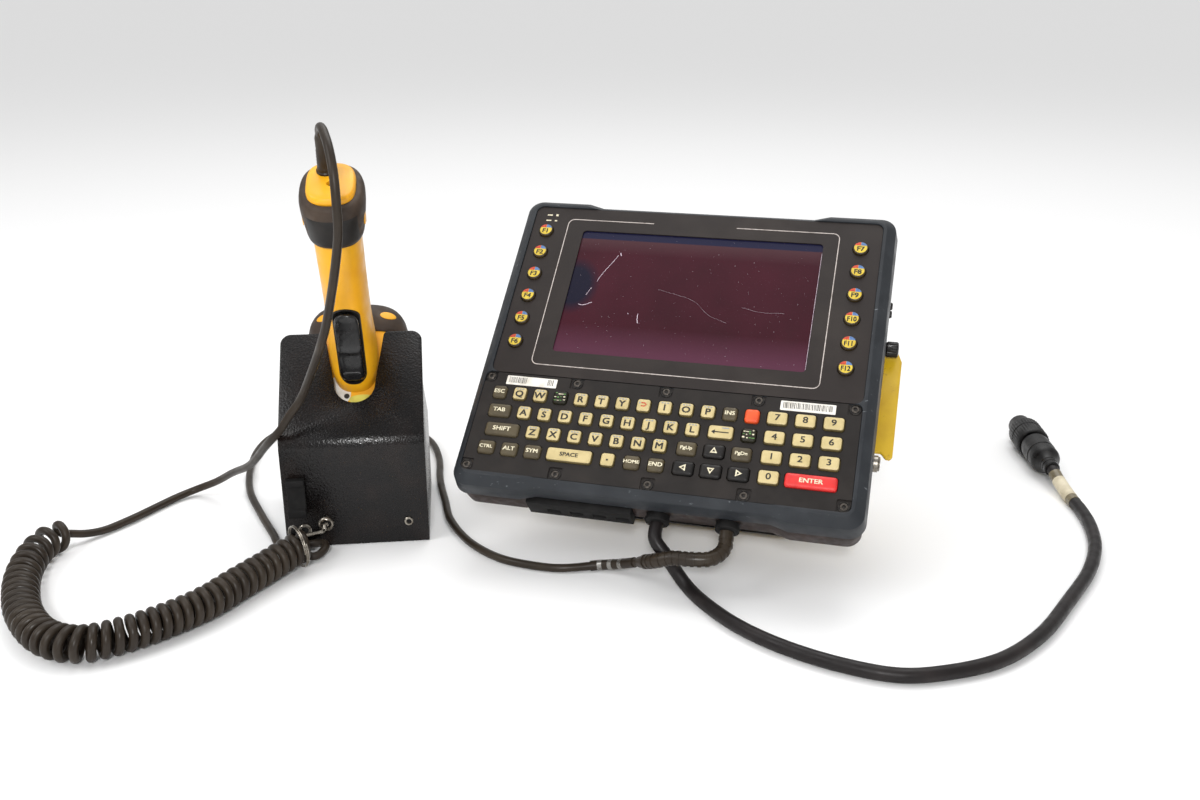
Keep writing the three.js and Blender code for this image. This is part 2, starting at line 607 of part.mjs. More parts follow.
function buildHolster() {
  const half = HOLSTER.width / 2;
  const sheet = HOLSTER.sheet;
  const fold = sheet * Math.tan(degrees((90 - HOLSTER.slopeAngle) / 2));
  const frontSheet = sideways([
    [0, 0], [sheet, 0], [sheet, HOLSTER.front - fold], slopePoint(HOLSTER.slope, sheet),
    slopePoint(HOLSTER.slope, 0), [0, HOLSTER.front],
  ], -half, half);
  const notch = new THREE.Shape();
  notch.absarc(NOTCH.middle, NOTCH.bottom, NOTCH.bottomHalf, Math.PI, 2 * Math.PI, false);
  notch.lineTo(NOTCH.middle + NOTCH.topHalf, HOLSTER.slope + 3);
  notch.lineTo(NOTCH.middle - NOTCH.topHalf, HOLSTER.slope + 3);
  const cutters = [slab(notch, -9, 6, 14)];
  [-1, 1].forEach((side) => {
    cutters.push(slab(polygon([
      [side * (half + 1), HOLSTER.slope + 1],
      [side * (half - 5), HOLSTER.slope + 1],
      [side * (half + 1), HOLSTER.slope - 5],
    ]), -5, 5));
  });
  slope.updateMatrix();
  cutters.forEach((cutter) => cutter.applyMatrix4(slope.matrix));
  part(holster, 'holster_front', cut(frontSheet, cutters.map(outward)), BLACK_METAL);

  const inner = sheet + GAP;
  const cheek = [
    [inner, 0], [HOLSTER.depth, 0], [HOLSTER.depth, HOLSTER.backHeight],
    slopePoint(HOLSTER.cheekTop, 8), slopePoint(HOLSTER.cheekTop, inner),
    slopePoint(1, inner), [inner, HOLSTER.front - 2],
  ];
  part(holster, 'holster_body', joined([
    sideways(cheek, -half, -half + sheet),
    sideways(cheek, half - sheet, half),
    block([-half, half], [HOLSTER.depth - sheet, HOLSTER.depth], [HOLSTER.backGap, HOLSTER.backHeight]),
    block([-half, -half + 16], [inner, inner + sheet], [0, 22]),
    block([half - 16, half], [inner, inner + sheet], [0, 22]),
  ]), BLACK_METAL);

  // A cord clip with a hooked upper end, on the front of the holster.
  const clip = sideways([
    [-GAP, 22], [-GAP, 47], [-5.5, 47], [-5.5, 43], [-2.6, 42], [-2.6, 28], [-5.5, 27], [-5.5, 22],
  ].reverse(), -41, -30);
  part(holster, 'cord_clip', outward(clip), BLACK_PLASTIC);
}

// Turns a closed geometry's faces outward if they point in.
function outward(geometry) {
  const flat = bare(geometry);
  const place = flat.attributes.position;
  const index = flat.index.array;
  const [a, b, c] = [new THREE.Vector3(), new THREE.Vector3(), new THREE.Vector3()];
  let volume = 0;
  for (let i = 0; i < index.length; i += 3) {
    a.fromBufferAttribute(place, index[i]);
    b.fromBufferAttribute(place, index[i + 1]);
    c.fromBufferAttribute(place, index[i + 2]);
    volume += a.dot(b.cross(c));
  }
  if (volume < 0) flat.setIndex(Array.from(index).reverse());
  return flat;
}

// ---------------------------------------------------------------- scanner

const scanner = new THREE.Group();
scanner.position.x = SCANNER.across;
slope.add(scanner);

const ACROSS = new THREE.Vector3(1, 0, 0);
const OUT = new THREE.Vector3(0, 0, 1);
const NOSE_SLANT = 24;
const sweep = degrees(SCANNER.handleSweep);
const HANDLE_UP = new THREE.Vector3(0, Math.sin(sweep), Math.cos(sweep));
const HANDLE_BACK = new THREE.Vector3(0, Math.cos(sweep), -Math.sin(sweep));

// A cross-section of the head at a place along the barrel, between two depths, leaning back by a slant.
function headRing(y, halfWidth, front, back, shrink = 0, slant = 0) {
  const centre = new THREE.Vector3(0, y, (front + back) / 2);
  const along = OUT.clone().add(new THREE.Vector3(0, Math.tan(degrees(slant)), 0));
  return ring(centre, along, ACROSS, (front - back) / 2 - shrink, halfWidth - shrink, 2.8);
}

function headRings(shrink = 0) {
  return [
    headRing(1, 33, -13, -53, shrink, NOSE_SLANT),
    headRing(16, 32, -9, -56, shrink, NOSE_SLANT / 2),
    headRing(38, 31, -8, -58, shrink),
    headRing(62, 31, -8, -58, shrink),
    headRing(79.7, 31, -8, -57, shrink),
  ];
}

// A cross-section of the handle, square to its own axis.
function handleRing(along, halfWidth, halfDepth, back = 0) {
  const centre = new THREE.Vector3(0, SCANNER.handleAt, 0);
  centre.addScaledVector(HANDLE_UP, along).addScaledVector(HANDLE_BACK, back);
  return ring(centre, ACROSS, HANDLE_BACK, halfWidth, halfDepth, 2.5);
}

function atHandle(geometry, along, across = 0, back = 0) {
  geometry.rotateX(Math.PI / 2 - sweep);
  const place = new THREE.Vector3(across, SCANNER.handleAt, 0);
  place.addScaledVector(HANDLE_UP, along).addScaledVector(HANDLE_BACK, back);
  geometry.translate(place.x, place.y, place.z);
  return geometry;
}

function buildScanner() {
  const bayWall = 3;
  const bay = headRings(bayWall).slice(0, 3);
  bay.unshift(headRing(-1, 33, -13, -53, bayWall, NOSE_SLANT));
  part(scanner, 'scanner_head', cut(loft(headRings()), [loft(bay)]), SCANNER_YELLOW);
  part(scanner, 'scan_engine', bevelledSlab(roundedRect(40, 24, 2, 0, 20), -46, -24, 1), MODULE);

  // The soft nose carries the reading window, set back inside its mouth.
  const mouth = 4;
  const noseRing = (y, shrink) => headRing(y, 33.5, -13.5, -53.5, shrink, NOSE_SLANT);
  part(scanner, 'nose_boot', cut(loft([
    noseRing(-8, 1),
    noseRing(-5.5, -1),
    noseRing(1 - GAP / Math.cos(degrees(NOSE_SLANT)), -1),
  ]), [loft([noseRing(-12, mouth), noseRing(4, mouth)])]), RUBBER);
  part(scanner, 'scan_window', loft([noseRing(-5.5, mouth + GAP), noseRing(-3.5, mouth + GAP)]), SCREEN);

  part(scanner, 'rear_bumper', loft([
    headRing(80, 32.5, -6.5, -58.5),
    headRing(90, 32, -6.5, -57.5),
    headRing(99, 28, -9.5, -54),
    headRing(106, 18, -19, -45),
  ]), RUBBER);

  const grip = loft([
    handleRing(-20, 13.5, 19),
    handleRing(-4, 14.2, 20.5),
    handleRing(10, 14.2, 19),
    handleRing(40, 13.4, 17.5),
    handleRing(80, 13.4, 17.5),
    handleRing(108, 13.6, 18),
    handleRing(128 - GAP, 13.6, 18),
  ]);
  const triggerWell = atHandle(slab(roundedRect(16, 60, 7.5), -5, 12), 24, 0, -18.5);
  part(scanner, 'scanner_handle', cut(grip, [loft(headRings(-GAP)), triggerWell]), SCANNER_YELLOW);

  part(scanner, 'grip_boot', cut(loft([
    handleRing(103, 16, 20.5),
    handleRing(107, 18, 22.5),
    handleRing(126, 18, 22.5),
    handleRing(131, 16.5, 21),
  ]), [loft([handleRing(100, 13.6 + GAP, 18 + GAP), handleRing(134, 13.6 + GAP, 18 + GAP)])]), RUBBER);
  part(scanner, 'end_cap', loft([
    handleRing(128, 13.6, 18),
    handleRing(133.6, 13.6, 18),
    handleRing(SCANNER.handleLength, 12, 16.4),
  ]), SCANNER_YELLOW);

  // The strain relief leaves the butt behind its middle; its tip meets the lead.
  const glandLength = 21.1;
  part(scanner, 'scanner_gland', atHandle(turned([
    [0, 0], [4.2, 0], [4.2, 3], [3.9, 4], [3.2, glandLength], [0, glandLength],
  ], 14), SCANNER.handleLength + GAP, -3, 8), CORD);

  const trigger = bevelledSlab(roundedRect(14.8, 56, 6.8), -1.2, 4.6, 1.6);
  part(scanner, 'trigger', atHandle(trigger, 24, 0, -18.5), BLACK_PLASTIC);
}

// ---------------------------------------------------------------- cords

function buildCords() {
  part(assembly, 'scanner_lead', tube(LEAD_ROUTE, LEAD_RADIUS, 8, 76), CORD);
  part(assembly, 'coil_cord', tube(COIL_ROUTE, COIL_RADIUS, 12, 40), CORD);
  part(assembly, 'scanner_tail', tube(TAIL_ROUTE, LEAD_RADIUS, 8, 80), CORD);
  part(assembly, 'terminal_boot', tube(BOOT_ROUTE, BOOT_RADIUS, 10, 18), CORD);
  part(assembly, 'power_cord', tube(POWER_ROUTE, POWER_RADIUS, 10, 72), POWER_CORD);

  // A ring of wire around the coil's last turns, which ties it to the holster.
  const tether = new THREE.TorusGeometry(12.6, 0.9, 6, 24);
  const hoop = part(assembly, 'tether_ring', tether, NICKEL);
  const coilHeading = new THREE.Vector3(0.8, 0.6, 0.04).normalize();
  hoop.quaternion.setFromUnitVectors(new THREE.Vector3(0, 0, 1), coilHeading);
  hoop.position.set(-249, -117.8, 13.6);
}

// ---------------------------------------------------------------- power connector

const connector = new THREE.Group();
connector.position.set(...CONNECTOR.place);
connector.rotation.z = degrees(CONNECTOR.yaw);
assembly.add(connector);

function buildConnector() {
  const ringStart = CONNECTOR.shell;
  const ringEnd = ringStart + CONNECTOR.ring;
  const edge = CONNECTOR.radius - 0.8;
  part(connector, 'connector_shell', turned([
    [0, 0], [5.4, 0], [5.8, 11], [9.6, 16], [10.4, 18], [10.4, ringStart - 2], [8.6, ringStart - GAP],
    [8.6, ringEnd - 6], [0, ringEnd - 6],
  ], 18), BLACK_PLASTIC);
  part(connector, 'coupling_ring', turned([
    [8.9, ringStart], [edge, ringStart], [CONNECTOR.radius, ringStart + 1],
    [CONNECTOR.radius, ringEnd - 1], [edge, ringEnd], [8.9, ringEnd], [8.9, ringStart],
  ], 24), BLACK_PLASTIC);
  part(connector, 'connector_insert', rod(8.2, ringEnd - 6 + GAP, CONNECTOR.length, 16), BLACK_METAL);
}

buildTerminal();
buildRear();
buildStand();
buildHolster();
buildScanner();
buildCords();
buildConnector();

export default assembly;
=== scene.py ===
"""Looks of the data collector set: a keyboard terminal on its stand, a hand-held reader in a
sheet-metal holster, and their cords. Shapes are drawn in millimetres in the frame of the thing they
belong to, and are placed in the row frame in metres."""
import json
import math
import random

import bmesh
import bpy
from mathutils import Matrix, Vector


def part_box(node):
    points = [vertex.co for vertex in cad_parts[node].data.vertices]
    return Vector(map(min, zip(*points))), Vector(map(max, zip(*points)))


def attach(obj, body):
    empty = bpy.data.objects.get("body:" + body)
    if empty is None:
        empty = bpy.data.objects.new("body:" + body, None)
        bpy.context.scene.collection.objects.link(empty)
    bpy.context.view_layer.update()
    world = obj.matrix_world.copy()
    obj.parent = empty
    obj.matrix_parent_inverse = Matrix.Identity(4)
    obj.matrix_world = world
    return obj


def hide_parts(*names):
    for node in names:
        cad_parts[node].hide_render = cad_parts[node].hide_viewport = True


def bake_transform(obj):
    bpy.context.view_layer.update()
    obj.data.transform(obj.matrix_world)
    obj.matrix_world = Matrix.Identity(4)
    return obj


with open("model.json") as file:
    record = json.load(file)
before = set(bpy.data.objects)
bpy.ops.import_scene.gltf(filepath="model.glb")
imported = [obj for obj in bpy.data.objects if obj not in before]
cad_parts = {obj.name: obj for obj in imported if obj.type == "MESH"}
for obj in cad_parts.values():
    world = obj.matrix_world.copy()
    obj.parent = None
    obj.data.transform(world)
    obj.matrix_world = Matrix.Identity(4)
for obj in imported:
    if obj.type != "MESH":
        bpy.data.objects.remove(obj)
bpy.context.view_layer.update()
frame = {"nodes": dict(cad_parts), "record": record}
BODY_OF = {node: body for body, nodes in frame["record"]["behaviour"]["bodies"].items() for node in nodes}

# ------------------------------------------------------------------ frames and sizes


def turned(angle, axis):
    return Matrix.Rotation(math.radians(angle), 4, axis)


def moved(x, y, z):
    return Matrix.Translation((x, y, z))


TO_METRES = Matrix.Scale(0.001, 4)
ROW = Matrix.Identity(4)
STAND = turned(-15.7, "Z")
TERMINAL = moved(-13.2, -47.2, 149) @ STAND @ turned(41, "X")  # x right, y up the face, z out of it
HOLSTER = moved(-219.2, -87.5, 0) @ turned(7, "Z")
SLOPE = HOLSTER @ moved(0, 0, 69) @ turned(46, "X")
READER = SLOPE @ moved(2, 0, 0)  # y along the barrel, z up towards the handle's end
HANDLE = READER @ moved(0, 60, 0) @ turned(72, "X")  # y along the handle, z to its front
CONNECTOR = moved(248, 2, 12) @ turned(-4, "Z")  # y along the plug

CORD_DIAMETER = 5
BOOT_DIAMETER = 8
POWER_DIAMETER = 8

# ------------------------------------------------------------------ camera


def added(name, data):
    """A new object in the scene."""
    thing = bpy.data.objects.new(name, data)
    bpy.context.scene.collection.objects.link(thing)
    return thing


camera = added("camera", bpy.data.cameras.new("camera"))
camera.data.lens = 35
camera.data.sensor_width = 36
camera.location = (-0.0677, -0.7465, 0.336)
camera.rotation_euler = (math.radians(70), 0, 0)
bpy.context.scene.camera = camera

# ------------------------------------------------------------------ materials


def srgb(red, green, blue):
    """A display colour, 0 to 255, as the linear colour that the shader takes."""
    def linear(value):
        value /= 255
        return value / 12.92 if value <= 0.04045 else ((value + 0.055) / 1.055) ** 2.4
    return (linear(red), linear(green), linear(blue), 1)


LOOK = {}


class Finish:
    """A procedural material: a base colour, with layers of colour, roughness and relief added to it."""

    def __init__(self, name, colour, roughness, metallic=0, coat=0):
        self.material = bpy.data.materials.new(name)
        self.material.use_nodes = True
        self.nodes = self.material.node_tree.nodes
        self.links = self.material.node_tree.links
        self.shader = self.nodes["Principled BSDF"]
        self.base = srgb(*colour)
        self.relief = None
        self.feed(self.shader, {"Base Color": self.base, "Roughness": roughness})
        self.feed(self.shader, {"Metallic": metallic, "Coat Weight": coat, "IOR": 1.5})
        self.place = self.nodes.new("ShaderNodeTexCoord").outputs["Object"]
        LOOK[name] = self

    def feed(self, node, inputs):
        """Sets a node's inputs, each to a value or to another node's output."""
        for key, value in inputs.items():
            if isinstance(value, bpy.types.NodeSocket):
                self.links.new(value, node.inputs[key])
            else:
                node.inputs[key].default_value = value
        return node

    def add(self, kind, inputs):
        return self.feed(self.nodes.new("ShaderNode" + kind), inputs)

    def noise(self, scale, detail=4, stretch=(1, 1, 1)):
        """Noise over the piece; scale counts its features in a millimetre."""
        sizes = [1000 * scale * share for share in stretch]
        mapping = self.add("Mapping", {"Scale": sizes, "Vector": self.place})
        inputs = {"Scale": 1, "Detail": detail, "Vector": mapping.outputs["Vector"]}
        return self.add("TexNoise", inputs).outputs["Fac"]

    def between(self, value, low, high, to_low=0, to_high=1):
        """Maps a value's stretch from low to high onto another stretch."""
        ends = {"From Min": low, "From Max": high, "To Min": to_low, "To Max": to_high}
        return self.add("MapRange", {"Value": value, **ends}).outputs["Result"]

    def tint(self, colour, mask):
        """Lays another colour over the base where the mask is high."""
        node = self.nodes.new("ShaderNodeMix")
        node.data_type = "RGBA"
        # The mix node has sockets for numbers, vectors and colours: its two colours are sockets 6 and 7.
        self.feed(node, {0: mask, 6: self.base, 7: srgb(*colour)})
        self.base = node.outputs[2]
        self.feed(self.shader, {"Base Color": self.base})
        return self

    def fade(self, colour, axis, low, high):
        """Another colour from one place to another along an axis of the terminal's face, in millimetres."""
        return self.tint(colour, self.between(self.face()[axis], low, high))

    def spot(self, colour, middle, reach):
        """Another colour in a soft patch on the terminal's face."""
        offset = {}
        for axis, centre, half in zip("XY", middle, reach):
            offset[axis] = self.between(self.face()[axis], centre - half, centre + half, -1, 1)
        length = self.nodes.new("ShaderNodeVectorMath")
        length.operation = "LENGTH"
        self.feed(length, {0: self.add("CombineXYZ", offset).outputs["Vector"]})
        return self.tint(colour, self.between(length.outputs["Value"], 1, 0.6))

    def face(self):
        """The terminal's own coordinates, in millimetres, over a piece drawn in the row frame."""
        back = TERMINAL.inverted()
        inputs = {"Location": back.to_translation(), "Rotation": back.to_euler(), "Scale": [1000] * 3}
        mapping = self.add("Mapping", {**inputs, "Vector": self.place})
        return self.add("SeparateXYZ", {"Vector": mapping.outputs["Vector"]}).outputs

    def mottled(self, colour, scale, low=0.45, high=0.7, **how):
        return self.tint(colour, self.between(self.noise(scale, **how), low, high))

    def rough(self, low, high, scale, **how):
        mask = self.between(self.noise(scale, **how), 0.35, 0.65, low, high)
        self.feed(self.shader, {"Roughness": mask})
        return self

    def grained(self, scale, strength, height=0.05, **how):
        """Fine relief; height is in millimetres."""
        inputs = {"Strength": strength, "Distance": height / 1000, "Height": self.noise(scale, **how)}
        if self.relief:
            inputs["Normal"] = self.relief
        self.relief = self.add("Bump", inputs).outputs["Normal"]
        self.feed(self.shader, {"Normal": self.relief})
        return self

    def matt(self, level):
        self.feed(self.shader, {"Specular IOR Level": level})
        return self


def case_finishes():
    """Moulded cases, film and glass of the terminal, and what is inside it."""
    bezel = Finish("bezel", (36, 39, 43), 0.46).mottled((46, 49, 53), 0.05).rough(0.36, 0.56, 0.09)
    bezel.mottled((112, 116, 120), 0.35, 0.68, 0.76, stretch=(0.3, 2, 1)).grained(2.2, 0.35, 0.06).matt(0.3)
    rear = Finish("rear_case", (44, 33, 30), 0.5, 0.1).mottled((60, 45, 41), 0.06).rough(0.4, 0.6, 0.2)
    rear.grained(1.6, 0.5, 0.08).matt(0.3)
    film = Finish("film", (37, 31, 29), 0.5).mottled((45, 39, 36), 0.03).rough(0.4, 0.56, 0.07)
    film.grained(5, 0.3, 0.03).matt(0.25)
    panel = Finish("panel", (29, 25, 23), 0.48).mottled((37, 32, 29), 0.05).rough(0.38, 0.55, 0.1)
    panel.grained(4, 0.3, 0.03).matt(0.25)
    Finish("seal", (13, 12, 12), 0.7).mottled((22, 21, 20), 0.2).grained(2, 0.3).matt(0.25)
    screen = Finish("screen", (46, 8, 20), 0.14).mottled((60, 13, 28), 0.02, 0.3, 0.75)
    screen.fade((84, 46, 64), "Y", -24, -48).fade((66, 38, 44), "Y", 30, 40)
    # Painted shadow of the film's window edge over the inset display: a dark band along the top, here, and a
    # dark patch at the left edge, on the next line.
    screen.fade((26, 26, 52), "Y", 40.6, 41.4)
    screen.spot((16, 14, 34), (-75, 4), (17, 22)).rough(0.12, 0.22, 0.05)
    screen.mottled((112, 84, 100), 1.5, 0.69, 0.8, stretch=(1, 0.6, 1)).matt(0.17)
    Finish("board", (30, 82, 52), 0.5).mottled((22, 64, 40), 0.1).grained(2, 0.2)
    Finish("module", (140, 142, 146), 0.4, 0.8).mottled((110, 112, 116), 0.1)
    Finish("battery", (60, 62, 70), 0.5).mottled((80, 82, 90), 0.1)


def key_finishes():
    for name, colour, worn in (
        ("key_beige", (198, 180, 130), (180, 162, 110)),
        ("key_olive", (82, 73, 54), (66, 58, 44)),
        ("key_black", (18, 16, 15), (32, 28, 26)),
        ("key_dark", (28, 27, 18), (42, 38, 24)),
        ("key_red", (214, 42, 40), (190, 34, 32)),
        ("key_orange", (226, 86, 34), (200, 66, 26)),
        ("key_yellow", (212, 186, 60), (190, 160, 44)),
        # The darker olive-beige below is painted shade on the sides of the beige keys; the keypad mat takes
        # it too.
        ("key_skirt", (104, 90, 54), (76, 66, 38)),
        ("key_rim", (44, 34, 16), (62, 48, 22)),
    ):
        cap = Finish(name, colour, 0.45).mottled(worn, 0.12, 0.4, 0.75)
        cap.rough(0.38, 0.6, 0.3).grained(3, 0.2, 0.03)
    for name in ("key_olive", "key_black", "key_dark"):
        LOOK[name].matt(0.3)


def metal_finishes():
    nickel = Finish("nickel", (158, 152, 142), 0.3, 1).mottled((118, 110, 100), 0.15)
    nickel.rough(0.22, 0.4, 0.2).grained(2, 0.08, 0.02)
    paint = Finish("yellow_paint", (208, 170, 24), 0.42, coat=0.1).mottled((190, 150, 18), 0.04)
    paint.mottled((140, 106, 30), 0.3, 0.66, 0.76).rough(0.35, 0.55, 0.08).grained(0.8, 0.25, 0.08)
    black = Finish("stand_black", (16, 14, 14), 0.45).mottled((28, 25, 23), 0.08).rough(0.35, 0.55, 0.3)
    black.grained(1.2, 0.5, 0.1).matt(0.35)
    powder = Finish("powder_coat", (11, 9, 9), 0.3).mottled((24, 18, 16), 0.06)
    # The sparse light specks, about a millimetre across, are painted glints in the coat's grain.
    powder.mottled((50, 42, 38), 0.9, 0.66, 0.8).rough(0.16, 0.36, 1.1)
    powder.grained(0.8, 1.0, 0.2, detail=1).grained(2.2, 0.5, 0.04).matt(0.3)
    Finish("steel", (160, 158, 154), 0.3, 1).mottled((120, 116, 110), 0.4).rough(0.25, 0.45, 0.5)
    Finish("screw_steel", (92, 86, 80), 0.36, 0.7).mottled((56, 52, 48), 0.7).grained(2, 0.3, 0.04)
    Finish("dark_steel", (30, 28, 28), 0.42, 0.5).mottled((58, 54, 50), 0.6).grained(2, 0.3, 0.04)


def reader_finishes():
    yellow = Finish("reader_yellow", (238, 172, 22), 0.36).mottled((226, 154, 14), 0.03)
    yellow.mottled((150, 100, 26), 0.25, 0.7, 0.82, stretch=(1, 1, 0.4)).rough(0.3, 0.5, 0.1)
    yellow.grained(2.5, 0.2, 0.03)
    rubber = Finish("reader_rubber", (54, 43, 35), 0.6).mottled((70, 56, 44), 0.06).rough(0.48, 0.7, 0.2)
    rubber.grained(1.8, 0.5, 0.07).matt(0.35)
    dark = Finish("reader_rubber_dark", (24, 21, 19), 0.5).mottled((34, 30, 27), 0.1)
    dark.grained(1.8, 0.5, 0.07).matt(0.35)
    trigger = Finish("trigger_black", (14, 14, 15), 0.26, coat=0.2).mottled((26, 25, 25), 0.12)
    trigger.rough(0.2, 0.42, 0.2).grained(2.5, 0.15, 0.03).matt(0.4)
    # The glossy facet is the trigger's own black plastic, painted a little lighter as sheen.
    facet = Finish("trigger_facet", (22, 22, 23), 0.12, coat=0.5).mottled((34, 33, 33), 0.2)
    facet.rough(0.08, 0.2, 0.2)
    Finish("scan_window", (60, 8, 14), 0.08, coat=0.5).mottled((40, 6, 12), 0.05)
    Finish("scan_engine", (30, 30, 32), 0.5).mottled((44, 44, 46), 0.1).grained(2, 0.3)


def cord_finishes():
    cord = Finish("cord_grey", (42, 35, 28), 0.38).mottled((55, 47, 38), 0.04).rough(0.3, 0.48, 0.1)
    cord.grained(1.5, 0.25, 0.05).matt(0.24)
    cable = Finish("cable_black", (23, 19, 19), 0.42).mottled((34, 29, 28), 0.05).rough(0.34, 0.56, 0.12)
    cable.grained(1.2, 0.3, 0.06).matt(0.26)
    connector = Finish("connector_black", (12, 11, 11), 0.33).mottled((24, 22, 21), 0.12)
    connector.rough(0.26, 0.48, 0.2).grained(2, 0.25, 0.04).matt(0.3)
    Finish("band_cream", (216, 206, 180), 0.5).mottled((180, 168, 140), 0.08).grained(1.5, 0.2)
    Finish("sleeve_olive", (112, 102, 78), 0.3).mottled((84, 76, 58), 0.1).rough(0.2, 0.4, 0.2)
    Finish("brass", (196, 160, 88), 0.3, 1).mottled((160, 126, 66), 0.4)


def print_finishes():
    """Inks, labels and small marks: roughness, colour, worn colour and the scale of the wear."""
    for name, roughness, colour, worn, scale in (
        ("ink_dark", 0.6, (22, 20, 17), (40, 36, 30), 0.8),
        ("ink_cream", 0.6, (222, 214, 186), (184, 174, 146), 0.8),
        ("ink_line", 0.55, (190, 180, 174), (150, 140, 134), 0.3),
        ("ink_red", 0.5, (196, 66, 38), (156, 48, 30), 0.8),
        ("ink_blue", 0.5, (84, 118, 168), (62, 92, 140), 0.8),
        ("ink_green", 0.5, (92, 140, 70), (60, 96, 44), 0.8),
        ("ink_faint", 0.5, (142, 146, 150), (168, 164, 146), 0.9),
        ("label", 0.45, (232, 228, 220), (208, 202, 190), 0.15),
        ("lime", 0.45, (216, 206, 92), (196, 182, 70), 0.15),
        # The scratch finish also paints the highlight lines along the display window's right and bottom
        # edges.
        ("scratch", 0.5, (216, 200, 210), (150, 120, 146), 1.5),
    ):
        Finish(name, colour, roughness).mottled(worn, scale)


# ------------------------------------------------------------------ mesh helpers


def skin(bm, rings, slot=0, caps=True):
    """Faces between closed rings of points, and over both ends."""
    rows = [[bm.verts.new(point) for point in ring] for ring in rings]
    faces = []
    for low, high in zip(rows, rows[1:]):
        for i in range(len(low)):
            j = (i + 1) % len(low)
            faces.append(bm.faces.new((low[i], low[j], high[j], high[i])))
    if caps:
        faces.append(bm.faces.new(list(reversed(rows[0]))))
        faces.append(bm.faces.new(rows[-1]))
    for face in faces:
        face.material_index = slot
    return faces


def rounded(width, height, radius, x=0, y=0, z=0, steps=5):
    """A rectangle with round corners, as a ring of points."""
    ring = []
    for quarter, (side, end) in enumerate(((1, -1), (1, 1), (-1, 1), (-1, -1))):
        for i in range(steps + 1):
            angle = (quarter - 1 + i / steps) * math.pi / 2
            ring.append(Vector((
                x + side * (width / 2 - radius) + radius * math.cos(angle),
                y + end * (height / 2 - radius) + radius * math.sin(angle),
                z,
            )))
    return ring


def pillow(bm, width, height, radius, x, y, profile, slots=None, steps=5):
    """A slab with shaped edges: the profile lists (inset, z) from its foot to its top."""
    rings = [
        rounded(width - 2 * inset, height - 2 * inset, max(radius - inset, 0.2), x, y, z, steps)
        for inset, z in profile
    ]
    faces = skin(bm, rings)
    if slots:
        for i, face in enumerate(faces[:-2]):
            face.material_index = slots[i // len(rings[0])]
        faces[-2].material_index = slots[0]
        faces[-1].material_index = slots[-1]


def lathe(bm, profile, sides, place=ROW, slot=0, ribs=0):
    """A turned shape about its y axis; points with a third value of 1 take ribs of the given depth."""
    rings = []
    for point in profile:
        radius, along = point[:2]
        depth = ribs if len(point) > 2 else 0
        ring = []
        for i in range(sides):
            angle = -2 * math.pi * i / sides
            reach = radius - depth * (i % 2)
            ring.append(place @ Vector((reach * math.cos(angle), along, reach * math.sin(angle))))
        rings.append(ring)
    return skin(bm, rings, slot)


def superellipse(half_x, half_y, power, count=48):
    """A rounded rectangle's ring, from an ellipse at power 2 towards a square."""
    def soft(value):
        return math.copysign(abs(value) ** (2 / power), value)
    angles = [2 * math.pi * (i + 0.5) / count for i in range(count)]
    return [(half_x * soft(math.cos(angle)), half_y * soft(math.sin(angle))) for angle in angles]


def between_ends(t, start, leave, end, arrive):
    """The cubic from start to end, at t from 0 to 1, that leaves and arrives with the given slopes."""
    return (
        (2 * t ** 3 - 3 * t ** 2 + 1) * start + (t ** 3 - 2 * t ** 2 + t) * leave
        + (3 * t ** 2 - 2 * t ** 3) * end + (t ** 3 - t ** 2) * arrive
    )


def eased(stations, share):
    """Numbers between stations, each (place, numbers...), on a smooth curve through them."""
    stations = sorted(stations)
    for k, (low, high) in enumerate(zip(stations, stations[1:])):
        if share <= high[0] or high is stations[-1]:
            break
    before = stations[max(k - 1, 0)]
    after = stations[min(k + 2, len(stations) - 1)]
    span = high[0] - low[0]
    t = min(max((share - low[0]) / span, 0), 1)
    values = []
    for i in range(1, len(low)):
        leave = (high[i] - before[i]) / (high[0] - before[0]) * span
        arrive = (after[i] - low[i]) / (after[0] - low[0]) * span
        values.append(between_ends(t, low[i], leave, high[i], arrive))
    return values


def smooth_line(points, step=1.6):
    """Close-set points on the centripetal Catmull-Rom curve through a route."""
    points = [Vector(point) for point in points]
    ghosts = [2 * points[0] - points[1], *points, 2 * points[-1] - points[-2]]
    line = []
    for a, b, c, d in zip(ghosts, ghosts[1:], ghosts[2:], ghosts[3:]):
        first, middle, last = ((q - p).length ** 0.5 for p, q in ((a, b), (b, c), (c, d)))
        leave = ((b - a) / first - (c - a) / (first + middle) + (c - b) / middle) * middle
        arrive = ((c - b) / middle - (d - b) / (middle + last) + (d - c) / last) * middle
        count = max(2, round((c - b).length / step))
        for i in range(count):
            t = i / count
            line.append(between_ends(t, b, leave, c, arrive))
    return line + [points[-1]]


def length_of(line):
    return sum((b - a).length for a, b in zip(line, line[1:]))


def tube(bm, line, radius, sides=14, slot=0):
    """A round tube along a line; radius is a number, or a function of the share of its length."""
    side = Vector((0, 0, 1)).orthogonal()
    rings = []
    for i, point in enumerate(line):
        heading = (line[min(i + 1, len(line) - 1)] - line[max(i - 1, 0)]).normalized()
        side = (side - heading * side.dot(heading)).normalized()
        up = heading.cross(side)
        reach = radius(i / (len(line) - 1)) if callable(radius) else radius
        ring = []
        for k in range(sides):
            angle = 2 * math.pi * k / sides
            ring.append(point + reach * (math.cos(angle) * side + math.sin(angle) * up))
        rings.append(ring)
    skin(bm, rings, slot)


def ribbon(bm, line, width, z, slot=0, thickness=0.03):
    """A thin flat strip along a line in a face's plane."""
    left, right = [], []
    for i, point in enumerate(line):
        heading = (line[min(i + 1, len(line) - 1)] - line[max(i - 1, 0)]).normalized()
        across = Vector((-heading.y, heading.x, 0)) * width / 2
        left.append(Vector((point.x, point.y, z)) + across)
        right.append(Vector((point.x, point.y, z)) - across)
    lift = Vector((0, 0, thickness))
    skin(bm, [[a - lift, b - lift, b, a] for a, b in zip(left, right)], slot)


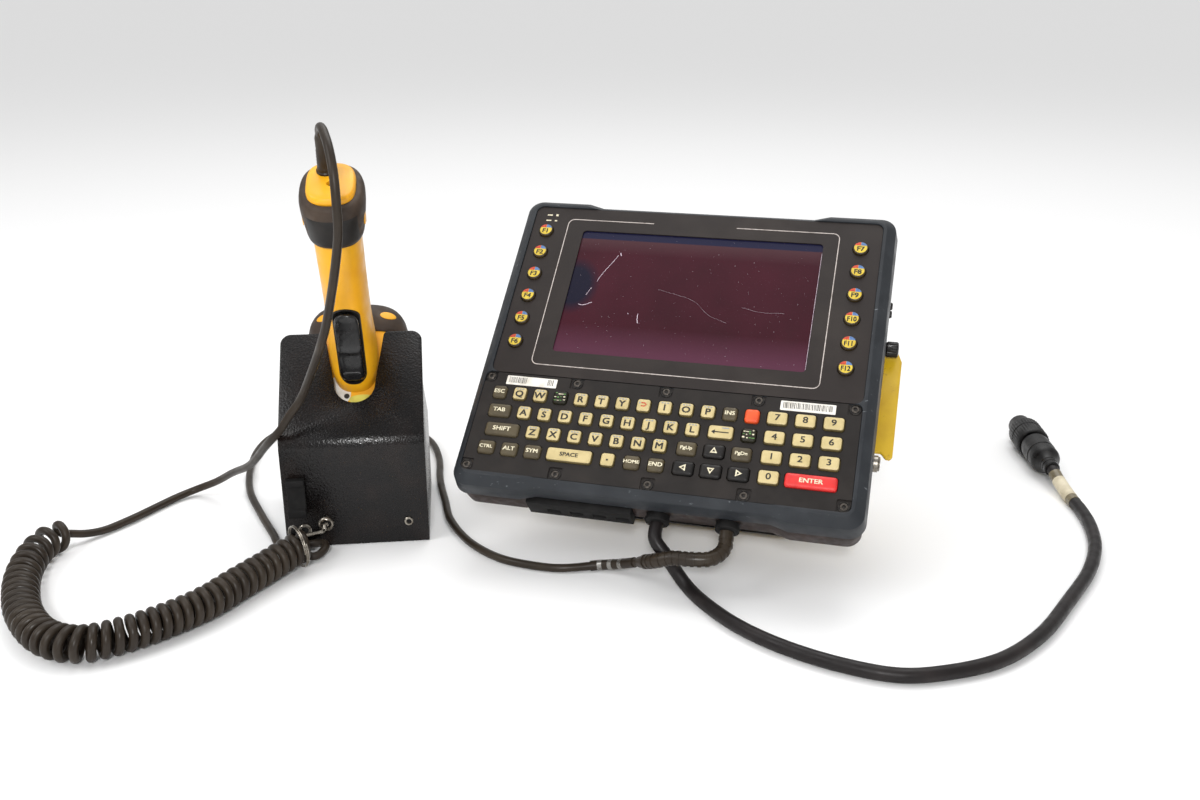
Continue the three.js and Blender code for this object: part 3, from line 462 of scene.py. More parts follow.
def lettering(bm, words, x, y, z, height, slot=0, bold=0.0, stretch=1.0):
    """Flat printed letters, centred on a place in a face's plane; bold ones are struck four times."""
    if bold:
        for i, (across, along) in enumerate(((-1, -1), (1, -1), (-1, 1), (1, 1))):
            struck = (x + across * bold, y + along * bold * 0.7, z + 0.004 * i)
            lettering(bm, words, *struck, height, slot, 0, stretch)
        return
    font = bpy.data.curves.new("letters", "FONT")
    font.body = words
    font.align_x = "CENTER"
    font.align_y = "CENTER"
    font.size = height / 0.7
    font.resolution_u = 3
    holder = bpy.data.objects.new("letters", font)
    mesh = holder.to_mesh()
    start = len(bm.verts)
    faces_before = len(bm.faces)
    bm.from_mesh(mesh)
    holder.to_mesh_clear()
    bpy.data.objects.remove(holder)
    bpy.data.curves.remove(font)
    bm.verts.ensure_lookup_table()
    bm.faces.ensure_lookup_table()
    for vert in bm.verts[start:]:
        vert.co = Vector((x + vert.co.x * stretch, y + vert.co.y, z))
    for face in bm.faces[faces_before:]:
        face.material_index = slot


def shade(bm, sharp=32):
    """Smooth shading, with hard edges where faces meet at more than an angle."""
    for edge in bm.edges:
        edge.smooth = len(edge.link_faces) == 2 and edge.calc_face_angle(0) < math.radians(sharp)
    for face in bm.faces:
        face.smooth = True


def piece(name, bm, place, looks, body="base", replaces=(), sharp=32, fix_normals=True):
    """Puts a drawn shape into the scene as a piece that moves with a body."""
    bm.transform(TO_METRES @ place)
    if fix_normals:
        bmesh.ops.recalc_face_normals(bm, faces=bm.faces)
    shade(bm, sharp)
    mesh = bpy.data.meshes.new(name)
    bm.to_mesh(mesh)
    bm.free()
    for look in looks:
        mesh.materials.append(LOOK[look].material)
    thing = added(name, mesh)
    if body:
        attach(thing, body)
    if replaces:
        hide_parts(*replaces)
    return thing


def refined(node, look, bevel, segments=2, rounds=()):
    """A CAD sub-part with rounded edges. Rounds lists (test of an edge's middle, size, segments)."""
    bm = bmesh.new()
    bm.from_mesh(frame["nodes"][node].data)
    bmesh.ops.remove_doubles(bm, verts=bm.verts, dist=2e-6)
    bmesh.ops.dissolve_limit(bm, angle_limit=math.radians(1), verts=bm.verts, edges=bm.edges)

    def sharp_edges():
        return [edge for edge in bm.edges if edge.calc_face_angle(0) > math.radians(25)]

    for test, size, steps in rounds:
        edges = [edge for edge in sharp_edges() if test((edge.verts[0].co + edge.verts[1].co) * 500)]
        bmesh.ops.bevel(bm, geom=edges, offset=size / 1000, segments=steps, affect="EDGES", profile=0.5)
    if bevel:
        edges = sharp_edges()
        bmesh.ops.bevel(
            bm, geom=edges, offset=bevel / 1000, segments=segments, affect="EDGES", profile=0.5,
            clamp_overlap=True,
        )
    bm.transform(Matrix.Scale(1000, 4))
    piece(node + "_detail", bm, ROW, [look], BODY_OF[node], [node])


# ------------------------------------------------------------------ cords

LEAD_ROUTE = [
    (-217.15, -112.7, 255.1), (-216.4, -116.6, 259.2), (-214.6, -121.6, 261.2), (-212.2, -127.4, 260.6),
    (-209.9, -133, 258), (-207.5, -138.5, 254), (-205.2, -144, 247.5), (-203.6, -148, 240),
    (-202.9, -150, 228.5), (-203.2, -149.5, 212.2), (-206.6, -144.5, 195.3), (-213, -135, 173),
    (-220.4, -124.5, 151), (-234, -105.5, 122),
    (-247.2, -92, 97.2), (-254.2, -92, 87.7), (-260.2, -93.2, 78.8), (-266.6, -89.6, 71.8),
    (-273.6, -82.5, 63.6), (-292.6, -56.5, 40.5), (-312.2, -34.5, 25.2), (-329.6, -19.6, 12),
    (-344.8, -15.3, 4.6), (-355, -24, 2.8), (-374, -59, 2.8), (-385, -75, 3), (-392.5, -83.5, 5),
    (-398.4, -89.6, 8), (-401.5, -93.7, 10.1),
]
COIL_ROUTE = [
    (-401.6, -93.9, 10.2), (-406, -107, 10.4), (-406, -123, 10.4), (-403, -140, 10.4), (-398, -156, 10.4),
    (-391, -172, 10.4), (-383, -187, 10.4), (-372, -202, 10.4), (-361, -213, 10.4), (-351, -219, 10.4),
    (-342, -221.5, 10.4), (-334, -221, 10.4), (-327, -218, 10.4), (-320, -214, 10.4), (-312, -208, 10.4),
    (-305, -202, 10.4), (-297, -194, 10.4), (-290, -186, 10.4), (-283, -176, 10.4), (-277, -164, 10.4),
    (-270, -151, 10.4), (-263, -138, 10.4), (-255.5, -126, 11.4), (-249, -117.8, 12.6), (-241, -111.8, 12.9),
]
TAIL_ROUTE = [
    (-240.3, -111.2, 12.6), (-237.5, -106.5, 9.6), (-238.5, -99.5, 6.5),
    (-244, -95.8, 4.5), (-252, -95.8, 3.2), (-262, -97, 2.8), (-269, -92, 2.8), (-274, -82, 2.8),
    (-290, -52, 2.8), (-309, -12, 2.8), (-320, 31, 2.8), (-323, 66, 2.8), (-318, 90, 2.8),
    (-300, 111, 2.8), (-270, 121, 2.8), (-237, 115, 2.8), (-212, 98, 2.8), (-196, 76, 2.8),
    (-186, 45, 2.8), (-180, 5, 2.8), (-172, -30, 2.8), (-165, -59, 2.8), (-149, -91, 2.8),
    (-129, -112, 2.8), (-110, -121, 2.8), (-92, -125, 2.8), (-67.7, -123.4, 4), (-55.9, -129.6, 8),
    (-43.4, -141.6, 16),
]
BOOT_ROUTE = [
    (-44.4, -140.5, 15.1), (-36.4, -152.5, 22.1), (-27, -156.5, 26), (-16, -160, 27), (-5, -160, 27.5),
    (2.5, -154.5, 30.5), (4.7, -145.8, 38),
]
POWER_ROUTE = [
    (-34.65, -134.8, 38.1), (-36, -142.5, 31), (-30, -147, 23), (-24, -147.5, 13), (-18, -152, 6),
    (-11, -165, 4.2), (6, -192, 4.2), (27, -213, 4.2), (55, -231, 4.2), (84, -241, 4.2), (110, -238, 4.2),
    (139, -227, 4.2), (168, -203, 4.2), (198, -165, 4.2), (223, -130, 4.2), (239, -98, 4.2),
    (247, -70, 4.2), (250, -47, 4.2), (250, -27, 4.6), (248.8, -11, 8), (248.1, 0.3, 11.6), (248.3, 5, 12),
]
# The curly cord's turns: loose ones stand further apart at first, and it starts over a few points.
HELIX = {"radius": 7.7, "pitch": 6.2, "loose": 3.9, "loose_for": 150, "per_turn": 20, "starts": 9}


def resampled(line, step):
    """The same line with its points an even step apart."""
    total = length_of(line)
    count = max(2, round(total / step))
    marks, travelled, i = [], 0, 0
    for k in range(count + 1):
        target = total * k / count
        while i + 2 < len(line) and travelled + (line[i + 1] - line[i]).length < target:
            travelled += (line[i + 1] - line[i]).length
            i += 1
        share = (target - travelled) / max((line[i + 1] - line[i]).length, 1e-9)
        marks.append(line[i].lerp(line[i + 1], min(share, 1)))
    return marks


def helix(route):
    """The turns of the curly cord about its route, from the middle where the lead ends."""
    step = HELIX["pitch"] / HELIX["per_turn"]
    axis = resampled(smooth_line(route), step)
    turns = []
    angle = 0
    for i, point in enumerate(axis):
        heading = (axis[min(i + 1, len(axis) - 1)] - axis[max(i - 1, 0)]).normalized()
        side = heading.cross(Vector((0, 0, 1))).normalized()
        up = side.cross(heading)
        reach = HELIX["radius"] * math.sin(min(i / HELIX["starts"], 1) * math.pi / 2)
        reach *= 1 - 0.02 * (1 + math.sin(i * 0.021)) / 2
        slack = max(0, 1 - i * step / HELIX["loose_for"])
        spacing = HELIX["pitch"] + HELIX["loose"] * slack * slack * (3 - 2 * slack)
        spacing *= 1 + 0.07 * math.sin(i * 0.017)
        angle += 2 * math.pi * step / spacing
        turns.append(point + reach * (math.cos(angle) * side + math.sin(angle) * up))
    return turns


def joined(first, second, drop, skip, pull):
    """One line from two: a bow replaces the last points of the first and the first of the second."""
    before, after = first[:-drop], second[skip:]
    start, end = before[-1], after[0]
    span = (end - start).length
    leave = (start - before[-2]).normalized() * span * pull
    arrive = (after[1] - end).normalized() * span * pull
    count = max(5, round(span / 0.8))
    bow = []
    for i in range(1, count):
        t = i / count
        bow.append(between_ends(t, start, leave, end, arrive))
    return before + bow + after


def build_cords():
    lead_line = smooth_line(LEAD_ROUTE)
    bm = bmesh.new()
    tube(bm, lead_line, CORD_DIAMETER / 2)
    lead = piece("lead", bm, ROW, ["cord_grey"], None, ["scanner_lead"])
    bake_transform(lead)

    tail_line = smooth_line(TAIL_ROUTE)
    curly_line = joined(helix(COIL_ROUTE), tail_line, drop=15, skip=10, pull=2.4)
    bm = bmesh.new()
    tube(bm, curly_line, CORD_DIAMETER / 2, sides=12)
    curly = piece("curly_cord", bm, ROW, ["cord_grey"], "base", ["coil_cord", "scanner_tail"])

    boot_line = smooth_line(BOOT_ROUTE, 1)
    bm = bmesh.new()
    tube(bm, boot_line, lambda share: BOOT_DIAMETER / 2 * (0.82 + 0.18 * min(1, share * 6)), sides=18)
    boot = piece("boot", bm, ROW, ["cord_grey"], "base", ["terminal_boot"])
    bm = bmesh.new()
    for i in range(6, len(boot_line) - 6, 4):
        tube(bm, boot_line[i:i + 3], 4.35, sides=18)
    ribs = piece("boot_ribs", bm, ROW, ["cord_grey"], "base")

    # A clear sleeve with silver stripes, slipped over the tail in front of the terminal.
    sleeve_line = [point for point in tail_line if -74 < point.x < -47 and point.y < -110]
    bm = bmesh.new()
    tube(bm, sleeve_line, 3.1, sides=18)
    for i in range(3, len(sleeve_line) - 4, 5):
        tube(bm, sleeve_line[i:i + 3], 3.25, sides=18, slot=1)
    sleeve = piece("sleeve", bm, ROW, ["cord_grey", "steel"], "base")

    power_line = smooth_line(POWER_ROUTE)
    bm = bmesh.new()
    tube(bm, power_line, POWER_DIAMETER / 2, sides=20)
    power = piece("power_cable", bm, ROW, ["cable_black"], "base", ["power_cord"])
    bm = bmesh.new()
    for slot, radius, low, high in ((0, 4.25, -36, -1.5), (1, 4.45, -30.5, -9)):
        stretch = [point for point in power_line if low < point.y < high and point.x > 200]
        tube(bm, stretch, radius, sides=24, slot=slot)
    band = piece("marker_band", bm, ROW, ["sleeve_olive", "band_cream"], "base")
    return power, power_line, band


def build_connector():
    """The screw connector on the power cord's end: back shell, ribbed coupling ring, face and pins."""
    bm = bmesh.new()
    lathe(bm, [(4.6, 0), (5.3, 0.6), (5.5, 3), (5.5, 4), (5.2, 4.5), (5.6, 5), (5.7, 8), (5.3, 8.5),
               (5.8, 9), (6.2, 11), (8.6, 14.5), (9.8, 16), (10.2, 18), (10.2, 24), (9.9, 24.4), (9.9, 26),
               (10.3, 26.4), (10.3, 40), (9.9, 40.6), (9.9, 43.4), (8.6, 44), (8.6, 66), (7.6, 66)], 48)
    shell = piece("back_shell", bm, CONNECTOR, ["connector_black"], "base", ["connector_shell"])
    bm = bmesh.new()
    sides = 72
    ring = [(8.9, 46.2), (10.4, 46.2), (11, 46.8), (11.7, 47.6, 1), (11.7, 60.4, 1), (11, 61), (11, 62)]
    ring += [(11.7, 62.6, 1), (11.7, 71, 1), (11.2, 72.4), (10.6, 73), (8.9, 73)]
    faces = lathe(bm, ring, sides, ribs=0.5)
    bmesh.ops.delete(bm, geom=faces[-2:], context="FACES_ONLY")
    bm.verts.ensure_lookup_table()
    first, last = bm.verts[:sides], bm.verts[-sides:]
    for i in range(sides):
        j = (i + 1) % sides
        bm.faces.new((last[i], last[j], first[j], first[i]))
    collar = piece("coupling_collar", bm, CONNECTOR, ["connector_black"], "coupling_ring", ["coupling_ring"])
    bm = bmesh.new()
    lathe(bm, [(8.1, 67.4), (8.1, 86), (7.8, 86.6), (7.2, 86.6), (7.2, 80), (0.4, 80)], 40)
    for i in range(7):
        turn = 2 * math.pi * i / 6
        reach = 4.2 if i < 6 else 0
        place = moved(reach * math.cos(turn), 0, reach * math.sin(turn))
        lathe(bm, [(0.7, 79.5), (0.7, 84), (0.3, 84.8)], 10, place, 1)
    looks = ["dark_steel", "brass"]
    insert = piece("connector_face", bm, CONNECTOR, looks, "base", ["connector_insert"])


# ------------------------------------------------------------------ terminal

KEY = {"pitch": 12.84, "row_pitch": 12.55, "first_row": -79, "width": 8.4, "height": 8.6, "top": 1.9}
DIGIT = {"first": 65.7, "pitch": 16, "width": 11.9}
FUNCTION_KEY = {"left": -102.5, "right": 100.2, "first": 44.2, "pitch": 17.18, "radius": 4.7, "top": 2}
SCREWS = {"first": -111.5, "pitch": 55, "count": 5, "rows": (-67.8, -128.9), "floor": -0.9}
OUTLINE = {"width": 175.5, "height": 111.7, "middle": (-1.1, -0.9), "gap": (-32, 22)}
BAR_LABEL = {"middle": -69.65, "height": 6.2}
DISPLAY_FACE = -1.07
MAT = {"width": 213, "middle": -1.2, "low": -125.7, "high": -71.3, "back": -5.2, "front": -2.9}
LOOSE = ("enter", "space", "shift", "up", "down", "left", "right")
TOP_ROW = ("esc", "q", "w", "e", "r", "t", "y", "u", "i", "o", "p", "ins", "alpha")
TOP_ROW_TONES = {"esc": "olive", "ins": "olive", "e": "dark", "alpha": "orange"}
BLANK = ("e", "alpha")


def keyboard():
    """Every key: its name, its legend, its middle, its width and its tone."""
    keys = []

    def add(name, legend, x, row, width=KEY["width"], tone="beige"):
        keys.append((name, legend, x, KEY["first_row"] - row * KEY["row_pitch"], width, tone))

    for i, name in enumerate(TOP_ROW):
        legend = "" if name in BLANK else name.upper()
        add(name, legend, -102.9 + i * KEY["pitch"], 0, tone=TOP_ROW_TONES.get(name, "beige"))
    add("tab", "TAB", -99.9, 1, 13.8, "olive")
    for i, legend in enumerate("ASDFGHJKL"):
        add(legend.lower(), legend, -84.4 + i * KEY["pitch"], 1)
    add("backspace", "", 34.9, 1, 14.8)
    add("fn", "", 51.1, 1, tone="dark")
    add("shift", "SHIFT", -95.2, 2, 21, "olive")
    for i, legend in enumerate("ZXCVBNM"):
        add(legend.lower(), legend, -75.8 + i * KEY["pitch"], 2)
    add("page_up", "PgUp", 17, 2, 11.3, "olive")
    add("up", "", 33, 2, 12.2, "black")
    add("page_down", "PgDn", 48.7, 2, 11.3, "olive")
    for i, legend in enumerate(("CTRL", "ALT", "SYM")):
        add(legend.lower(), legend, -101.9 + i * 14.4, 3, 10.2, "olive")
    add("space", "SPACE", -50.5, 3, 27.6)
    add("dot", ".", -27.3, 3)
    add("home", "HOME", -13, 3, 9.4, "olive")
    add("end", "END", 1.2, 3, 9.4, "olive")
    for i, name in enumerate(("left", "down", "right")):
        add(name, "", 17.2 + i * 15.8, 3, 12.2, "black")
    for i, digit in enumerate("789456123"):
        add("digit_" + digit, digit, DIGIT["first"] + (i % 3) * DIGIT["pitch"], i // 3, DIGIT["width"])
    add("digit_0", "0", DIGIT["first"], 3, DIGIT["width"])
    add("enter", "ENTER", 89.2, 3, 29, "red")
    return keys


def keycap_shape(bm, x, y, width, top_slot, skirt_slot):
    """A soft key: straight skirt, rounded shoulder and a slightly crowned top."""
    crown = [(1.5, 1.72), (2.4, KEY["top"] - 0.06)]
    profile = [(0, MAT["back"] + 0.3), (0, 0.35), (0.12, 0.8), (0.45, 1.25), (0.9, 1.55), *crown]
    # The skirt and the lower shoulder take the skirt slot, which is painted shade on beige keys.
    slots = [skirt_slot, skirt_slot, skirt_slot, top_slot, top_slot, top_slot, top_slot]
    pillow(bm, width, KEY["height"], 1.9, x, y, profile, slots)


def flat_shape(bm, points, z, slot=0):
    bm.faces.new([bm.verts.new((x, y, z)) for x, y in points]).material_index = slot


def bar(bm, x, y, width, height, z, slot=0):
    half, rise = width / 2, height / 2
    corners = [(x - half, y - rise), (x + half, y - rise), (x + half, y + rise), (x - half, y + rise)]
    flat_shape(bm, corners, z, slot)


def key_print(bm, name, legend, x, y, slot=0, faint=0, red=0, green=0):
    """What is printed on a key's top: letters, or a drawn mark. Letter keys carry faint marks above."""
    z = KEY["top"] + 0.02
    if name == "u":
        hook = ((-1.4, 1.3), (0.6, 1.3), (1.7, 0.2), (0.6, -0.9), (-1.4, -0.9))
        ribbon(bm, [Vector((x + a, y + b, 0)) for a, b in hook], 0.75, z, red, 0.01)
        bar(bm, x - 2.4, y + 1.2, 0.9, 1.1, z, faint)
    elif legend:
        height = {1: 3.9, 2: 2.4, 3: 2.5, 4: 2.05, 5: 2.7}[len(legend)]
        if name == "space":
            height = 2.4
        low = -0.7 if len(legend) == 1 and legend.isalpha() else 0
        if legend == ".":
            bar(bm, x, y - 0.5, 1.1, 1.1, z, slot)
        else:
            spread = 0.03 if legend.isdigit() else 0.045
            lettering(bm, legend, x, y + low, z, height, slot, bold=spread * height, stretch=1.15)
        if len(legend) == 1 and legend.isalpha():
            for step in (-1, 0, 1):
                bar(bm, x + 1.7 * step, y + 2.55, 1.1, 0.8, z, faint)
    if name in ("up", "down", "left", "right"):
        turn = {"right": 0, "up": 90, "left": 180, "down": 270}[name]
        corners = ((2.3, 0, 0), (-1.5, 2.2, 0), (-1.5, -2.2, 0))
        arrow = [turned(turn, "Z") @ Vector(corner) for corner in corners]
        for share, lift, ink in ((1, 0, slot), (0.42, 0.02, faint)):
            flat_shape(bm, [(x + share * p.x, y + share * p.y) for p in arrow], z + lift, ink)
    if name == "backspace":
        half = [(-5.4, 0), (-3.3, 1.5), (-3.3, 0.35), (4.8, 0.35)]
        arrow = half + [(a, -b) for a, b in reversed(half[1:])]
        flat_shape(bm, [(x + a, y - 0.4 + b) for a, b in arrow], z, slot)
        bar(bm, x + 2.6, y + 2.4, 4, 0.8, z, faint)
    if name in ("e", "fn"):
        rng = random.Random(len(name) * 7)
        for i in range(12):
            a = x + (i % 4 - 1.5) * 1.7 + rng.uniform(-0.4, 0.4)
            b = y + (i // 4 - 1) * 2.1 + rng.uniform(-0.5, 0.5)
            bar(bm, a, b, rng.uniform(0.7, 1.8), rng.uniform(0.4, 1.0), z, rng.choice((green, slot)))


def ink_on(tone):
    return "ink_dark" if tone == "beige" else "ink_cream"


def printed(name, bm, inks, body):
    """Flat print on the terminal, which faces out as it was drawn."""
    piece(name, bm, TERMINAL, inks, body, fix_normals=False)


def build_keys():
    tones = ["beige", "skirt", "olive", "black", "dark", "orange"]
    fixed = bmesh.new()
    fixed_print = bmesh.new()
    inks = ["ink_dark", "ink_cream", "ink_green", "ink_faint", "ink_red"]
    middle = (MAT["low"] + MAT["high"]) / 2
    mat = bmesh.new()
    slab = [(0, MAT["back"]), (0, MAT["front"])]
    pillow(mat, MAT["width"], MAT["high"] - MAT["low"], 3, MAT["middle"], middle, slab)
    # The mat between the keys takes the same darkened colour as the beige keys' painted-shade skirts.
    mat = piece("keypad_base", mat, TERMINAL, ["key_skirt"], "base", ["keypad_mat"])
    holes = bmesh.new()
    through = [(0, MAT["back"] - 1), (0, MAT["front"] + 1)]
    for name, _, x, y, width, _ in keyboard():
        if name in LOOSE:
            pillow(holes, width + 0.7, KEY["height"] + 0.7, 2.2, x, y, through)
    carve(mat, holes, TERMINAL)
    for name, legend, x, y, width, tone in keyboard():
        # Beige keys get darker skirts as painted shade on their sides; the other keys are one colour all
        # over.
        skirt = "skirt" if tone == "beige" else tone
        if name in LOOSE:
            bm = bmesh.new()
            keycap_shape(bm, x, y, width, 0, 1)
            body = "key_" + name
            piece(body + "_cap", bm, TERMINAL, ["key_" + tone, "key_" + skirt], body, [body])
            bm = bmesh.new()
            key_print(bm, name, legend, x, y, 0, 1)
            inner = "key_black" if tone == "black" else "ink_faint"
            printed(body + "_print", bm, [ink_on(tone), inner], body)
        else:
            keycap_shape(fixed, x, y, width, tones.index(tone), tones.index(skirt))
            if tone != "orange":
                ink = inks.index(ink_on(tone))
                key_print(fixed_print, name, legend, x, y, ink, faint=3, red=4, green=2)
    piece("keypad", fixed, TERMINAL, ["key_" + tone for tone in tones], "base", ["keypad_mat"])
    printed("keypad_print", fixed_print, inks, "base")


def build_function_keys():
    """Round keys with a dark rim; their upper half carries a red and a blue mark over the legend."""
    for i in range(12):
        x = FUNCTION_KEY["left"] if i < 6 else FUNCTION_KEY["right"]
        y = FUNCTION_KEY["first"] - (i % 6) * FUNCTION_KEY["pitch"]
        body = f"key_f{i + 1}"
        radius = FUNCTION_KEY["radius"]
        top = FUNCTION_KEY["top"]
        bm = bmesh.new()
        profile = [(0, -3.3), (0, 0.9), (0.12, 1.3), (0.4, 1.65), (0.8, 1.85)]
        profile += [(1.4, top - 0.06), (2.6, top - 0.03)]
        pillow(bm, 2 * radius, 2 * radius, radius, x, y, profile, [1, 1, 1, 1, 0, 0, 0], steps=8)
        piece(body + "_cap", bm, TERMINAL, ["key_yellow", "key_rim"], body, [body])
        bm = bmesh.new()
        z = top + 0.02
        outer, chord = 3.9, 1.5
        first = math.asin(chord / outer)
        for slot, side in ((0, -1), (1, 1)):
            arc = [first + (math.pi / 2 - first) * k / 6 for k in range(7)]
            rim = [(x + side * (outer * math.cos(a) + 0.08), y + outer * math.sin(a)) for a in arc]
            flat_shape(bm, [*rim, (x + side * 0.08, y + chord)], z, slot)
        lettering(bm, f"F{i + 1}", x, y - 1.1, z, 3.2, 2, bold=0.15, stretch=1.05 if i < 9 else 0.85)
        printed(body + "_print", bm, ["ink_red", "ink_blue", "ink_dark"], body)


def build_face_print():
    """The printed frame round the display, the status marks and the two bar labels."""
    bm = bmesh.new()
    ring = rounded(OUTLINE["width"], OUTLINE["height"], 4, *OUTLINE["middle"])
    top = OUTLINE["middle"][1] + OUTLINE["height"] / 2
    left, right = OUTLINE["gap"]
    line = [Vector((left, top, 0)), *ring[12:], *ring[:12], Vector((right, top, 0))]
    ribbon(bm, line, 0.55, 0.03)
    marks = ((-103, 57.4, 3.4, 1), (-103, 53, 3.4, 1), (-98, 57.5, 1.6, 1.6), (-98, 53, 1.6, 1))
    for x, y, width, height in marks:
        bar(bm, x, y, width, height, 0.03, 1)
    piece("face_print", bm, TERMINAL, ["ink_line", "ink_cream"], "base", sharp=60)

    rng = random.Random(4)
    bm = bmesh.new()
    for x, width, blank in ((-85, 32, (-3, 10)), (82, 31.5, (0, 0))):
        y = BAR_LABEL["middle"]
        pillow(bm, width, BAR_LABEL["height"], 0.5, x, y, [(0, -0.04), (0, 0.05), (0.05, 0.1)], [0, 0, 0])
        at = -width / 2 + 1.6
        while at < width / 2 - 1.8:
            stroke = rng.choice((0.22, 0.34, 0.5))
            if not blank[0] < at < blank[1]:
                bar(bm, x + at + stroke / 2, y + 0.3, stroke, 4, 0.13, 1)
            at += stroke + rng.choice((0.3, 0.45, 0.6))
    piece("bar_labels", bm, TERMINAL, ["label", "ink_dark"], "base")


def build_display():
    """The glossy display under its film, with worn scratches and specks, and light lines along the window's
    right and bottom edges as painted highlight; its dark border at the top and left is painted shadow in the
    screen's finish.
    """
    bm = bmesh.new()
    pillow(bm, 159.4, 97.4, 1.8, 0, 0, [(0, -3.2), (0, -1.4), (0.3, -1.1)])
    piece("display_glass", bm, TERMINAL, ["screen"], "base", ["display_window"])
    bm = bmesh.new()
    z = DISPLAY_FACE
    rng = random.Random(9)

    def scratch(points, width):
        line = smooth_line([(x, y, 0) for x, y in points], 0.8)
        line = [p + Vector((rng.uniform(-0.12, 0.12), rng.uniform(-0.12, 0.12), 0)) for p in line]
        ribbon(bm, line, width, z, thickness=0.02)

    scratch([(-50.5, 29), (-54, 22), (-58, 14.5), (-60.5, 8)], 0.32)
    scratch([(-49.5, 31), (-48.6, 28.6)], 0.6)
    scratch([(-63, 3), (-65.5, -3)], 0.3)
    scratch([(-69, -10), (-66, -10.6), (-60.5, -8)], 0.42)
    scratch([(-29.5, -14), (-29.2, -18), (-28.4, -21)], 0.4)
    scratch([(34, -4), (46, -6.5), (60, -6)], 0.06)
    scratch([(-20, 5), (4, -2), (14, -11), (26, -16)], 0.05)
    scratch([(-36, -14), (-35.4, -15)], 0.4)
    # Painted highlights: light lines along the window's right and bottom edges, where its bevel catches the
    # light.
    ribbon(bm, [Vector((77.2, -46, 0)), Vector((77.2, 40, 0))], 0.3, z)
    ribbon(bm, [Vector((-77, -46.2, 0)), Vector((77, -46.2, 0))], 0.25, z)
    for _ in range(150):
        x, y = rng.uniform(-74, 74), 44.5 - 89 * rng.random() ** 0.8
        size = rng.uniform(0.05, 0.2)
        flat_shape(bm, [(x - size, y - size), (x + size, y), (x, y + size)], z)
    printed("display_scratches_and_highlights", bm, ["scratch"], "base")


def build_screws():
    """Ten sunk screws in the keyboard panel's corners and edges."""
    bm = bmesh.new()
    for i in range(SCREWS["count"]):
        for y in SCREWS["rows"]:
            place = moved(SCREWS["first"] + i * SCREWS["pitch"], y, SCREWS["floor"]) @ turned(90, "X")
            washer = [(3.5, -0.05), (3.5, 0.35), (3.2, 0.6), (2.8, 0.6), (2.7, 0.2), (2.3, 0.2)]
            lathe(bm, washer, 28, place)
            lathe(bm, [(2.2, 0), (2.2, 0.65), (1.9, 0.85), (1.2, 0.85), (1.0, 0.2)], 24, place, 1)
            lathe(bm, [(0.98, 0.1), (0.98, 0.3)], 6, place, 0)
    piece("panel_screws", bm, TERMINAL, ["dark_steel", "screw_steel"], "base")


def repaint(node, look):
    """Gives a CAD sub-part that is shown as it is another finish."""
    frame["nodes"][node].data.materials.clear()
    frame["nodes"][node].data.materials.append(LOOK[look].material)


def build_terminal():
    refined("front_housing", "bezel", 0.5)
    refined("rear_housing", "rear_case", 0.5)
    refined("housing_gasket", "seal", 0.2, 1)
    refined("display_overlay", "film", 0)
    refined("keyboard_panel", "panel", 0.12, 1)
    refined("port_cover", "seal", 0.3)
    refined("stand_plate", "yellow_paint", 0.7, 3)
    refined("stand_arm", "stand_black", 0.8)
    refined("stand_foot", "stand_black", 0.8, 3)
    repaint("lcd_module", "module")
    repaint("main_board", "board")
    repaint("keyboard_board", "board")
    repaint("backup_battery", "battery")
    build_keys()
    build_function_keys()
    build_face_print()
    build_display()
    build_screws()


BOLT = [(4.6, -0.1), (4.6, 2.6), (4.2, 3), (2.4, 3), (2.3, 1)]


def build_fittings():
    """Sockets, the side connector and the clamp knob."""
    bm = bmesh.new()
    for x in (3, 44):
        place = moved(x, 0, -24.5)
        lathe(bm, [(6.8, -128), (6.8, -139), (7.3, -139.2), (7.3, -141), (6.9, -141.6),
                   (6.2, -142), (3, -142)], 40, place)
    piece("sockets", bm, TERMINAL, ["seal"], "base", ["power_socket", "scanner_socket"])
    side = turned(-90, "Z")
    bm = bmesh.new()
    place = moved(0, -88, -26) @ side
    lathe(bm, [(3.6, 112), (3.6, 119.8), (6.4, 119.9), (6.4, 120.6)], 6, place)
    thread = [(4.3 - 0.3 * (k % 2), 123.7 + 0.25 * k) for k in range(1, 4)]
    mouth = [(3.2, 124.6), (3.2, 123.4), (1.2, 123.4)]
    lathe(bm, [(4.9, 120.4), (4.9, 123.2), (4.3, 123.6), *thread, *mouth], 30, place)
    piece("side_connector", bm, TERMINAL, ["nickel"], "base", ["antenna_socket"])
    bm = bmesh.new()
    place = moved(0, -9, -27.5) @ side
    grip = [(4.2, 121, 1), (4.8, 121.8, 1), (4.8, 127.2, 1), (4.3, 128.1), (2.6, 128.5)]
    lathe(bm, [(2.4, 112), (2.4, 120), (3.6, 120.1), *grip], 48, place, ribs=0.35)
    piece("knob", bm, TERMINAL, ["connector_black"], "clamp_knob", ["clamp_knob"])
    bm = bmesh.new()
    for x, y in ((-112, 58), (112, 58), (-112, -126), (112, -126), (-112, -34), (112, -34)):
        place = moved(x, y, -34) @ turned(-90, "X")
        lathe(bm, [(3.2, -0.1), (3.2, 0.9), (2.7, 1.4), (1.5, 1.4), (1.4, 0.4)], 24, place)
    for x, y in ((-12, -26), (12, -26), (-12, -54), (12, -54)):
        lathe(bm, BOLT, 6, moved(x, y, -41.7) @ turned(-90, "X"))
    for y in (16, 22):
        place = moved(0, y, -27) @ side
        lathe(bm, [(2.4, 116), (2.4, 121.4), (1.8, 122.2)], 20, place)
    piece("rear_screws", bm, TERMINAL, ["dark_steel"], "base")
    bm = bmesh.new()
    for x in (-13, 13):
        for y in (-26, 26):
            lathe(bm, BOLT, 6, moved(x * 0.9, y, 10.3) @ turned(90, "X"))
    piece("foot_bolts", bm, STAND, ["dark_steel"], "base")


# ------------------------------------------------------------------ holster


SPLIT_RING = {"radius": 12.6, "wire": 1}
EYELET = (-19.3, 15)


